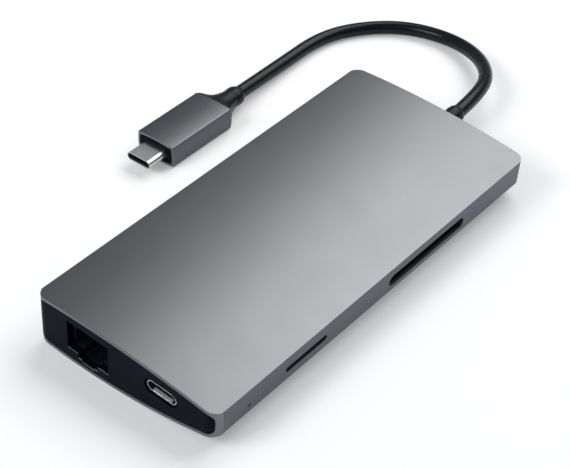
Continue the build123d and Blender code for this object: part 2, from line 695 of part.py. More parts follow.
def make_video_shell():
    outer = video_bar(SOCKET_FRONT, SOCKET_FRONT + VIDEO_LENGTH, 0)
    return outer - video_bar(SOCKET_FRONT - PAST, socket_rear(VIDEO_LENGTH), SOCKET_SHEET)


def make_video_insert():
    rear = socket_rear(VIDEO_LENGTH)
    width, height, reach = VIDEO_TONGUE
    insert = video_bar(rear - VIDEO_BLOCK, rear, SOCKET_SHEET + CAP_FIT)
    place = Pos(rear - VIDEO_BLOCK - reach / 2, VIDEO_PLACE, SIDE_SOCKET_Z + VIDEO_TONGUE_LIFT)
    return insert + place * Box(reach, width, height)


# ---------------------------------------------------------------- card sockets in the thin side
def front_relief():
    """Wedge off the lower front of both card sockets, clear of the rounded corner of the bore."""
    return Pos(CARD_FRONT, 0, BOARD_TOP) * Rot(0, 45, 0) * Box(SOCKET_RELIEF, HUB_LENGTH, SOCKET_RELIEF)


def card_base(y, width, rear, path_width, path_bottom, path_top, rear_wall):
    """Moulded base with a path for the card, open at the front and on top."""
    base = block(rear, CARD_FRONT, y - width / 2, y + width / 2, BOARD_TOP, path_top)
    half = path_width / 2
    base -= block(rear + rear_wall, CARD_FRONT + PAST, y - half, y + half, path_bottom, path_top + PAST)
    return base - front_relief()


def card_lid(y, width, rear, path_top, window):
    """Steel lid over the card's path, with a window in its middle."""
    half = width / 2
    lid = block(rear, CARD_FRONT - LID_SETBACK, y - half, y + half, path_top, path_top + COVER_SHEET)
    return lid - Pos((rear + CARD_FRONT) / 2, y, path_top) * Box(*window, PAST)


def strip_row(x0, y, z, count, pitch, size):
    """Row of contact strips along X, on the floor of a card's path."""
    length, width, sheet = size
    strips = []
    for step in range(count):
        middle = y + (step - (count - 1) / 2) * pitch
        strips.append(block(x0, x0 + length, middle - width / 2, middle + width / 2, z, z + sheet))
    return strips


def lever_pocket(side):
    """Room beside the card's path for a lever; side is +1 or -1 along Y."""
    wall = CARD_Y + side * CARD_WIDTH / 2
    far = wall + side * LEVER_POCKET_DEPTH
    x1 = CARD_REAR + LEVER_POCKET_END
    x0 = x1 - LEVER_LENGTH - 2 * LEVER_PIVOT_GAP
    return block(x0, x1, min(wall, far), max(wall, far), CARD_PATH_BOTTOM, CARD_PATH_TOP + PAST)


def make_card_base():
    path = (CARD_WIDTH, CARD_PATH_BOTTOM, CARD_PATH_TOP)
    base = card_base(CARD_Y, CARD_BASE_WIDTH, CARD_REAR, *path, CARD_REAR_WALL)
    return base - lever_pocket(-1) - lever_pocket(1)


def make_card_cover():
    return card_lid(CARD_Y, CARD_BASE_WIDTH, CARD_REAR, CARD_PATH_TOP, CARD_WINDOW)


def make_card_contacts():
    start = CARD_REAR + CARD_REAR_WALL
    return strip_row(start, CARD_Y, CARD_PATH_BOTTOM, CARD_STRIPS, CARD_STRIP_PITCH, CARD_STRIP)


def lever_pivot(side):
    x = CARD_REAR + LEVER_POCKET_END - LEVER_PIVOT_GAP
    y = CARD_Y + side * (CARD_WIDTH / 2 + LEVER_THICKNESS + LEVER_INSET)
    return (x, y, (CARD_PATH_BOTTOM + CARD_PATH_TOP) / 2)


def make_lever(side):
    """Sprung lever: a round end to turn on, an arm along the card's path, and a nose that it pushes out."""
    height = CARD_GAP - 2 * LEVER_GAP
    end = Cylinder(LEVER_THICKNESS, height)
    arm = Pos(-LEVER_LENGTH / 2, 0, 0) * Box(LEVER_LENGTH, LEVER_THICKNESS, height)
    nose = Pos(LEVER_THICKNESS - LEVER_LENGTH, -side * LEVER_REACH, 0) * Cylinder(LEVER_THICKNESS, height)
    return Pos(*lever_pivot(side)) * (end + arm + nose)


SLIDER_CHANNEL_X = MICRO_REAR + SLIDER_CHANNEL_START
SLIDER_WALL_Y = MICRO_Y - MICRO_CARD_WIDTH / 2


def make_micro_base():
    path = (MICRO_CARD_WIDTH, MICRO_PATH_BOTTOM, MICRO_PATH_TOP)
    base = card_base(MICRO_Y, MICRO_BASE_WIDTH, MICRO_REAR, *path, MICRO_REAR_WALL)
    x1 = SLIDER_CHANNEL_X + SLIDER_LENGTH + SLIDER_TRAVEL + 2 * SLIDER_GAP
    far = SLIDER_WALL_Y - SLIDER_WIDTH - SLIDER_GAP
    return base - block(SLIDER_CHANNEL_X, x1, far, SLIDER_WALL_Y, MICRO_PATH_BOTTOM, MICRO_PATH_TOP + PAST)


def make_micro_cover():
    return card_lid(MICRO_Y, MICRO_BASE_WIDTH, MICRO_REAR, MICRO_PATH_TOP, MICRO_WINDOW)


def make_micro_contacts():
    start = MICRO_REAR + MICRO_REAR_WALL + MICRO_STRIP_START
    return strip_row(start, MICRO_Y, MICRO_PATH_BOTTOM, MICRO_STRIPS, MICRO_STRIP_PITCH, MICRO_STRIP)


def make_micro_slider():
    """Push-push slide: a bar in its channel and a heel that the card's front edge rests on."""
    start = SLIDER_CHANNEL_X + SLIDER_GAP + SLIDER_TRAVEL
    low = MICRO_PATH_BOTTOM + SLIDER_GAP
    high = MICRO_PATH_TOP - SLIDER_GAP
    far = SLIDER_WALL_Y - SLIDER_WIDTH
    heel_length, heel_reach = SLIDER_HEEL
    bar = block(start, start + SLIDER_LENGTH, far, SLIDER_WALL_Y, low, high)
    return bar + block(start, start + heel_length, far, SLIDER_WALL_Y + heel_reach, low, high)


# ---------------------------------------------------------------- status light
def make_light_pipe():
    """Clear rod from the light on the board to the hole in the sleeve."""
    x0 = LED_X + LED_SIZE[0] / 2 + LIGHT_PIPE_GAP
    x1 = THIN_WALL_X - LIGHT_PIPE_RECESS
    return along_x(Circle(LED_HOLE_RADIUS - LIGHT_PIPE_GAP), LED_Y, x0, x1, LED_Z)


# ---------------------------------------------------------------- cord, boots and clamp
def revolve_along_y(profile):
    """Turn a profile of (radius, y) points about the Y axis."""
    outline = Polyline(*[(radius, y, 0) for radius, y in profile], close=True)
    return revolve(make_face(outline), Axis.Y, 360)


def cord_core(y0, y1, gap=0.0):
    """Stripped core of the cord between two places along Y."""
    return Pos(BOOT_X, (y0 + y1) / 2, BOOT_Z) * Rot(90, 0, 0) * Cylinder(CORD_CORE_RADIUS + gap, y1 - y0)


def make_cord_boot():
    """Strain relief: a flange behind the rear cap, a flared root, a neck and a rounded collar."""
    flange_end = -CAP_PLATE - CAP_FIT
    flange_start = flange_end - BOOT_FLANGE
    root = BOOT_FLARE_RADIUS - CAP_FIT
    collar_start = BOOT_LENGTH - BOOT_COLLAR_LENGTH
    body = revolve_along_y([
        (0, flange_start),
        (BOOT_FLANGE_RADIUS, flange_start),
        (BOOT_FLANGE_RADIUS, flange_end),
        (root, flange_end),
        (root, BOOT_ROOT_LENGTH),
        (BOOT_COLLAR_RADIUS, 3 * BOOT_ROOT_LENGTH),
        (BOOT_COLLAR_RADIUS - BOOT_NECK_STEP, collar_start - BOOT_END_ROUND),
        (BOOT_COLLAR_RADIUS, collar_start),
        (BOOT_COLLAR_RADIUS, BOOT_LENGTH - BOOT_END_ROUND),
        (BOOT_COLLAR_RADIUS - BOOT_END_ROUND, BOOT_LENGTH),
        (0, BOOT_LENGTH),
    ])
    seated = Pos(BOOT_X, HALF_LENGTH, BOOT_Z) * body
    return seated - cord_core(HALF_LENGTH + flange_start - PAST, HALF_LENGTH, CAP_FIT)


def make_cord_clamp():
    """Crimped block that holds the cord's core in the board's rear notch."""
    clamp = Pos(BOOT_X, (CLAMP_FRONT + BOARD_REAR) / 2, BOOT_Z) * Box(CLAMP_WIDTH, CLAMP_LENGTH, CLAMP_HEIGHT)
    return clamp - cord_core(CLAMP_FRONT - PAST, BOARD_REAR + PAST, CAP_FIT)


def make_wire_tails():
    """Insulated wires that fan out from the core onto pads at the board's rear."""
    width, length, height = WIRE_TAIL
    y = CLAMP_FRONT - NOTCH_GAP - length / 2
    return [
        on_board(BOOT_X + (step - (WIRE_TAILS - 1) / 2) * WIRE_TAIL_PITCH, y, width, length, height)
        for step in range(WIRE_TAILS)
    ]


def route_points():
    start = seated_point(BOOT_X, HALF_LENGTH + BOOT_LENGTH, BOOT_Z)
    points = [start]
    points += [(start[0] + x, start[1] + y, CORD_DIAMETER / 2 + clear) for x, y, clear in CORD_ROUTE]
    points.append((start[0] + CORD_END[0], start[1] + CORD_END[1], PLUG_HEIGHT / 2))
    return [Vector(*point) for point in points]


def corner_radii(points):
    """Each arc is as large as its two runs allow."""
    radii = []
    for before, here, after in zip(points, points[1:], points[2:]):
        turn = radians((here - before).get_angle(after - here))
        shorter = min((here - before).length, (after - here).length)
        radii.append(0.45 * shorter / tan(turn / 2))
    return radii


def make_cord():
    points = route_points()
    radii = corner_radii(points)
    path = FilletPolyline(*points, radius=radii)
    tube = sweep(Plane(origin=points[0], z_dir=points[1] - points[0]) * Circle(CORD_DIAMETER / 2), path=path)
    print("cord radii", [round(radius, 1) for radius in radii])
    print("cord length", round(path.length, 2))
    print("cord volume by length", round(tube.volume / path.length, 4))
    print("cord section", round(pi * CORD_DIAMETER**2 / 4, 4))
    return tube


# ---------------------------------------------------------------- plug, drawn about its axis
# Y = 0 is where the cord meets the plug's boot. The plug runs from there towards -Y.
PLUG_REAR = -PLUG_BOOT_LENGTH
PLUG_FRONT = PLUG_REAR - PLUG_LENGTH
BEZEL_FRONT = PLUG_FRONT + PLUG_BEZEL_RECESS
BEZEL_REAR = BEZEL_FRONT + PLUG_BEZEL
SHELL_MOUTH = PLUG_FRONT - PLUG_SHELL_REACH
SHELL_ROOT = PLUG_FRONT + PLUG_SHELL_ROOT
LINER_FRONT = SHELL_MOUTH + LINER_RECESS
LINER_ROOT = SHELL_MOUTH + PLUG_SHELL_REACH
LINER_INSET = PLUG_SHELL_WALL + PLUG_FIT


def barrel_face(y, inset):
    """Plug section at Y: four slightly crowned sides that meet in crisp corners."""
    half_width = PLUG_WIDTH / 2 - PLUG_SIDE_CROWN - inset
    half_height = PLUG_HEIGHT / 2 - PLUG_CROWN - inset
    corners = [
        (-half_width, half_height),
        (half_width, half_height),
        (half_width, -half_height),
        (-half_width, -half_height),
    ]
    crowns = [
        (0, half_height + PLUG_CROWN),
        (half_width + PLUG_SIDE_CROWN, 0),
        (0, -half_height - PLUG_CROWN),
        (-half_width - PLUG_SIDE_CROWN, 0),
    ]
    edges = []
    for start, middle, end in zip(corners, crowns, corners[1:] + corners[:1]):
        edges.append(ThreePointArc(*[(x, y, z) for x, z in (start, middle, end)]))
    return make_face(edges)


def barrel(y0, y1, inset=0.0):
    return extrude(barrel_face(y0, inset), amount=y1 - y0, dir=(0, 1, 0))


def plug_shell_bar(y0, y1, margin=0.0):
    return along_y(PLUG_SHELL_WIDTH, PLUG_SHELL_HEIGHT, 0, y0, y1, 0, margin)


def make_plug_sleeve():
    return barrel(PLUG_FRONT, PLUG_REAR) - barrel(PLUG_FRONT - PAST, PLUG_REAR + PAST, PLUG_WALL)


def make_plug_bezel():
    bezel = barrel(BEZEL_FRONT, BEZEL_REAR, PLUG_WALL + PLUG_FIT)
    return bezel - plug_shell_bar(BEZEL_FRONT - PAST, BEZEL_REAR + PAST, PLUG_FIT)


def make_plug_shell():
    shell = plug_shell_bar(SHELL_MOUTH, SHELL_ROOT)
    return shell - plug_shell_bar(SHELL_MOUTH - PAST, SHELL_ROOT + PAST, -PLUG_SHELL_WALL)


def make_plug_liner():
    """Moulded liner inside the shell, with the slot that takes the inlet's tongue."""
    liner = plug_shell_bar(LINER_FRONT, SHELL_ROOT, -LINER_INSET)
    return liner - plug_shell_bar(LINER_FRONT - PAST, LINER_ROOT, -LINER_INSET - LINER_WALL)


def make_plug_contacts():
    half = PLUG_SHELL_HEIGHT / 2 - LINER_INSET - LINER_WALL
    ends = (LINER_FRONT + 2 * CONTACT_SETBACK, LINER_ROOT)
    return contact_row(0, half, *ends, False) + contact_row(0, -half, *ends, True)


def make_plug_latches():
    """Two side springs that hold the plug in its inlet."""
    reach = PLUG_SHELL_WIDTH / 2 - LINER_INSET - LINER_WALL - PLUG_FIT - LATCH_SHEET / 2
    start = LINER_FRONT + CONTACT_SETBACK
    latch = Pos(0, (start + LINER_ROOT) / 2, 0) * Box(LATCH_SHEET, LINER_ROOT - start, LATCH_SHEET)
    return [Pos(side * reach, 0, 0) * latch for side in (-1, 1)]


def make_plug_board():
    """Small board that joins the shell's contacts to the cord's wires."""
    width, height = PLUG_BOARD
    y0 = SHELL_ROOT + PLUG_FIT
    y1 = PLUG_REAR - PLUG_BOARD_REAR_GAP
    return Pos(0, (y0 + y1) / 2, 0) * Box(width, y1 - y0, height)


def boot_face(distance, share):
    """Section of the plug's boot: share runs from 0, the plug's own outline, to 1, the collar's."""
    wide = PLUG_WIDTH - 2 * PLUG_BOOT_STEP
    high = PLUG_HEIGHT - 2 * PLUG_BOOT_STEP
    neck = 2 * (PLUG_COLLAR_RADIUS - PLUG_BOOT_STEP)
    width = wide + (neck + PLUG_BOOT_STEP - wide) * share
    height = high + (neck - high) * share
    corner = PLUG_WALL + (neck / 2 - 2 * PLUG_FIT - PLUG_WALL) * share
    return Pos(0, PLUG_REAR + distance, 0) * Rot(90, 0, 0) * RectangleRounded(width, height, corner)


def make_plug_boot():
    """Strain relief: it plugs the sleeve's rear, sweeps in to the cord and ends in a collar."""
    tail = barrel(PLUG_REAR - PLUG_BOOT_TAIL, PLUG_REAR, PLUG_WALL + PLUG_FIT)
    steps = 5
    faces = []
    for step in range(steps + 1):
        along = step / steps
        faces.append(boot_face(PLUG_BOOT_FLARE * along, sin(along * pi / 2)))
    collar_start = PLUG_REAR + PLUG_BOOT_FLARE - PLUG_BOOT_STEP
    collar = revolve_along_y([
        (0, collar_start),
        (PLUG_COLLAR_RADIUS - PLUG_BOOT_STEP, collar_start),
        (PLUG_COLLAR_RADIUS, collar_start + 2 * PLUG_BOOT_STEP),
        (PLUG_COLLAR_RADIUS, -BOOT_END_ROUND),
        (PLUG_COLLAR_RADIUS - BOOT_END_ROUND, 0),
        (0, 0),
    ])
    return tail + loft(faces) + collar


# ---------------------------------------------------------------- write every node
hub_nodes = {
    "shell_sleeve": make_sleeve(),
    "front_end_cap": make_front_cap(),
    "rear_end_cap": make_rear_cap(),
    "board_tray": make_tray(),
    "board_screws": make_screws(),
    "main_board": make_board(),
    "network_jack_shield": make_jack_shield(),
    "network_jack_body": make_jack_body(),
    "network_jack_wires": make_jack_wires(),
    "power_inlet_shell": make_inlet_shell(),
    "power_inlet_tongue": make_inlet_tongue(),
    "power_inlet_contacts": make_inlet_contacts(),
    "video_socket_shell": make_video_shell(),
    "video_socket_insert": make_video_insert(),
    "type_a_contacts": make_type_a_contacts(),
    "card_socket_base": make_card_base(),
    "card_socket_cover": make_card_cover(),
    "card_socket_contacts": make_card_contacts(),
    "card_detect_lever": make_lever(1),
    "write_protect_lever": make_lever(-1),
    "micro_socket_base": make_micro_base(),
    "micro_socket_cover": make_micro_cover(),
    "micro_socket_contacts": make_micro_contacts(),
    "micro_socket_slider": make_micro_slider(),
    "hub_controller": on_board(*HUB_CHIP),
    "video_converter": on_board(*VIDEO_CHIP),
    "network_controller": on_board(*NETWORK_CHIP),
    "power_controller": on_board(*POWER_CHIP),
    "card_reader_chip": on_board(*CARD_CHIP),
    "network_transformer": make_transformer(),
    "power_inductors": make_inductors(),
    "capacitors": make_capacitors(),
    "crystals": make_crystals(),
    "thermal_pads": make_thermal_pads(),
    "heat_spreader": make_spreader(),
    "status_led": on_board(LED_X, LED_Y, *LED_SIZE),
    "light_pipe": make_light_pipe(),
    "cord_boot": make_cord_boot(),
    "cord_clamp": make_cord_clamp(),
    "cord_core": cord_core(CLAMP_FRONT, HALF_LENGTH - CAP_FIT),
    "cord_wires": make_wire_tails(),
}
for number, place in enumerate(TYPE_A_PLACES, start=1):
    hub_nodes[f"type_a_shell_{number}"] = make_type_a_shell(place)
    hub_nodes[f"type_a_insert_{number}"] = make_type_a_insert(place)

plug_nodes = {
    "plug_sleeve": make_plug_sleeve(),
    "plug_bezel": make_plug_bezel(),
    "plug_shell": make_plug_shell(),
    "plug_liner": make_plug_liner(),
    "plug_contacts": make_plug_contacts(),
    "plug_latches": make_plug_latches(),
    "plug_board": make_plug_board(),
    "plug_boot": make_plug_boot(),
}


def save(name, place, shape):
    """Write one node; a list becomes a group of separate solids."""
    if isinstance(shape, list):
        shape = Compound(children=[solid for piece in shape for solid in piece.solids()])
    export_step(place * shape, f"parts/{name}.step")


os.makedirs("parts", exist_ok=True)
for name, shape in hub_nodes.items():
    save(name, SEAT, shape)
for name, shape in plug_nodes.items():
    save(name, Pos(*route_points()[-1]), shape)
save("cord", Pos(0, 0, 0), make_cord())

print("seat shift", round(SHIFT_X, 4), "lift", round(LIFT, 4))
pivots = {"wires": wire_root(), "detect lever": lever_pivot(1), "protect lever": lever_pivot(-1)}
for label, pivot in pivots.items():
    print("pivot of", label, [round(value, 3) for value in seated_point(*pivot)])
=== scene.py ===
import bpy
import bmesh
import json
import math
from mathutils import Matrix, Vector

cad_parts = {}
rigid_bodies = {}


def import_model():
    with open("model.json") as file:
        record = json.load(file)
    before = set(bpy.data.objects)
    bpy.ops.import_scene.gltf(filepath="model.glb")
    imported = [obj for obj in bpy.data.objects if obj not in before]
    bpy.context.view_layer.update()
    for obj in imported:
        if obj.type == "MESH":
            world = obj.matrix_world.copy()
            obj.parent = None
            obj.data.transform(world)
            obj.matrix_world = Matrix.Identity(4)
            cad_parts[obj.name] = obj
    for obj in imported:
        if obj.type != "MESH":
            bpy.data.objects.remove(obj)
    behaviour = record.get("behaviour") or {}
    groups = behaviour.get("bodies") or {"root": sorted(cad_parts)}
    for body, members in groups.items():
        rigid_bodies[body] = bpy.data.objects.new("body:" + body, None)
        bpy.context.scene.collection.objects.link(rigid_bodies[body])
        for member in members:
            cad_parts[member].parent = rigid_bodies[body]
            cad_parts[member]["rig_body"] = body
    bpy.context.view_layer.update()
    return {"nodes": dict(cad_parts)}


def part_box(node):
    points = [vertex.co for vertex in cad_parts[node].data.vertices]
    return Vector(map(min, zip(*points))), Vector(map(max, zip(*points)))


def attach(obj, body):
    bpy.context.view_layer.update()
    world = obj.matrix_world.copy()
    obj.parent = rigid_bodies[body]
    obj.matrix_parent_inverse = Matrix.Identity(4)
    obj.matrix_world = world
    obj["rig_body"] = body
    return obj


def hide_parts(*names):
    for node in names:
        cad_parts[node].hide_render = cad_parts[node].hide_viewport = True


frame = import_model()
nodes = frame["nodes"]
mm = 0.001
print("frame loaded:", len(nodes), "nodes")

# camera: where it stands, how far it looks
shot = {
    "aim": (-3.40, 0.91, 7.0),   # mm
    "distance": 394.9,           # mm
    "azimuth": 39.94,            # degrees round from the front
    "elevation": 40.21,          # degrees above the table
    "lens": 100.33,              # mm
    "sensor": 36,                # mm
    "clip": (0.01, 20),          # m
}


def lookFrom(azimuth, elevation):
    turn, rise = math.radians(azimuth), math.radians(elevation)
    return Vector((math.sin(turn) * math.cos(rise), -math.cos(turn) * math.cos(rise), math.sin(rise)))


def addCamera():
    back = lookFrom(shot["azimuth"], shot["elevation"])
    data = bpy.data.cameras.new("shotCamera")
    data.lens = shot["lens"]
    data.sensor_width = shot["sensor"]
    data.clip_start, data.clip_end = shot["clip"]
    camera = bpy.data.objects.new("shotCamera", data)
    bpy.context.scene.collection.objects.link(camera)
    camera.location = (Vector(shot["aim"]) + back * shot["distance"]) * mm
    camera.rotation_mode = "QUATERNION"
    camera.rotation_quaternion = (-back).to_track_quat("-Z", "Y")
    bpy.context.scene.camera = camera


addCamera()
print("camera placed")

# cord: its facts, and the route that its smooth line follows
cordPiece = {
    "diameter": 4.0,             # mm
    "length": 128.0,             # mm
    "steps": 24,                 # along the line, between two points
    "roundness": 8,              # of its section
    "route": [                   # mm, from the hub's boot to the plug's boot
        (0.22, 70.0, 7.64), (-0.28, 79.1, 7.6), (-3.88, 90.8, 6.5), (-13.68, 100.5, 4.3),
        (-26.88, 105.2, 2.4), (-40.58, 102.5, 2.05), (-50.68, 93.9, 2.05), (-57.18, 81.6, 2.05),
        (-56.68, 62.2, 2.3), (-55.43, 42.85, 3.55),
    ],
}


def addCord():
    curve = bpy.data.curves.new("cordJacket", "CURVE")
    curve.dimensions = "3D"
    line = curve.splines.new("NURBS")
    line.points.add(len(cordPiece["route"]) - 1)
    for point, place in zip(line.points, cordPiece["route"]):
        point.co = (*(Vector(place) * mm), 1)
    line.order_u = 3
    line.use_endpoint_u = True
    line.resolution_u = cordPiece["steps"]
    curve.bevel_depth = cordPiece["diameter"] / 2 * mm
    curve.bevel_resolution = cordPiece["roundness"]
    piece = bpy.data.objects.new("cordJacket", curve)
    bpy.context.scene.collection.objects.link(piece)
    return piece


cord = addCord()
print("cord laid")


# effects that several finishes share, as node groups
def addNode(tree, kind, **settings):
    node = tree.nodes.new(kind)
    for key, value in settings.items():
        if key in node.inputs:
            node.inputs[key].default_value = value
        else:
            setattr(node, key, value)
    return node


def newGroup(name, takes, gives):
    group = bpy.data.node_groups.new(name, "ShaderNodeTree")
    for label, kind, value in takes:
        socket = group.interface.new_socket(name=label, in_out="INPUT", socket_type=kind)
        if value is not None:
            socket.default_value = value
    for label in gives:
        group.interface.new_socket(name=label, in_out="OUTPUT", socket_type="NodeSocketFloat")
    return group, group.nodes.new("NodeGroupInput").outputs, group.nodes.new("NodeGroupOutput").inputs


grainLook = {"coarser": 0.31, "share": 0.35}    # the second noise: its scale, and how much it counts


def buildFineGrain():    # blasted or moulded grain: two sizes of noise, one value out
    takes = [("Place", "NodeSocketVector", None), ("Size", "NodeSocketFloat", 4000.0)]
    group, take, give = newGroup("fineGrain", takes, ["Height"])
    links = group.links
    small = addNode(group, "ShaderNodeTexNoise", Detail=2.0, Roughness=0.6)
    links.new(take["Place"], small.inputs["Vector"])
    links.new(take["Size"], small.inputs["Scale"])
    coarser = addNode(group, "ShaderNodeMath", operation="MULTIPLY")
    coarser.inputs[1].default_value = grainLook["coarser"]
    links.new(take["Size"], coarser.inputs[0])
    large = addNode(group, "ShaderNodeTexNoise", Detail=1.0, Roughness=0.5)
    links.new(take["Place"], large.inputs["Vector"])
    links.new(coarser.outputs[0], large.inputs["Scale"])
    blend = addNode(group, "ShaderNodeMix", data_type="FLOAT")
    blend.inputs["Factor"].default_value = grainLook["share"]
    links.new(small.outputs["Fac"], blend.inputs["A"])
    links.new(large.outputs["Fac"], blend.inputs["B"])
    links.new(blend.outputs["Result"], give["Height"])


cloudLook = {"low": 0.3, "high": 0.7}    # noise values that give the two ends


def buildSlowCloud():    # broad, soft variation over a surface, between two values
    takes = [("Place", "NodeSocketVector", None), ("Size", "NodeSocketFloat", 60.0),
             ("Low", "NodeSocketFloat", 0.0), ("High", "NodeSocketFloat", 1.0)]
    group, take, give = newGroup("slowCloud", takes, ["Value"])
    cloud = addNode(group, "ShaderNodeTexNoise", Detail=3.0, Roughness=0.55)
    spread = addNode(group, "ShaderNodeMapRange", interpolation_type="SMOOTHSTEP")
    spread.inputs["From Min"].default_value = cloudLook["low"]
    spread.inputs["From Max"].default_value = cloudLook["high"]
    group.links.new(take["Place"], cloud.inputs["Vector"])
    group.links.new(take["Size"], cloud.inputs["Scale"])
    group.links.new(cloud.outputs["Fac"], spread.inputs["Value"])
    group.links.new(take["Low"], spread.inputs["To Min"])
    group.links.new(take["High"], spread.inputs["To Max"])
    group.links.new(spread.outputs["Result"], give["Value"])


marksLook = {"stretch": (1.0, 14.0, 1.0), "turn": (0.0, 0.0, 0.35), "low": 0.62, "high": 0.74}


def buildHandlingMarks():    # hairline rubs along the long side, thin and few
    takes = [("Place", "NodeSocketVector", None), ("Size", "NodeSocketFloat", 300.0),
             ("Amount", "NodeSocketFloat", 0.3)]
    group, take, give = newGroup("handlingMarks", takes, ["Mask"])
    stretch = addNode(group, "ShaderNodeMapping", vector_type="TEXTURE")
    stretch.inputs["Scale"].default_value = marksLook["stretch"]
    stretch.inputs["Rotation"].default_value = marksLook["turn"]
    hair = addNode(group, "ShaderNodeTexNoise", Detail=2.0, Roughness=0.7, Distortion=0.2)
    keep = addNode(group, "ShaderNodeMapRange", interpolation_type="SMOOTHSTEP")
    keep.inputs["From Min"].default_value = marksLook["low"]
    keep.inputs["From Max"].default_value = marksLook["high"]
    group.links.new(take["Place"], stretch.inputs["Vector"])
    group.links.new(stretch.outputs["Vector"], hair.inputs["Vector"])
    group.links.new(take["Size"], hair.inputs["Scale"])
    group.links.new(hair.outputs["Fac"], keep.inputs["Value"])
    group.links.new(take["Amount"], keep.inputs["To Max"])
    group.links.new(keep.outputs["Result"], give["Mask"])


buildFineGrain()
buildSlowCloud()
buildHandlingMarks()


def useGroup(tree, name, place, **values):
    node = tree.nodes.new("ShaderNodeGroup")
    node.node_tree = bpy.data.node_groups[name]
    tree.links.new(place, node.inputs["Place"])
    for label, value in values.items():
        node.inputs[label].default_value = value
    return node.outputs[0]


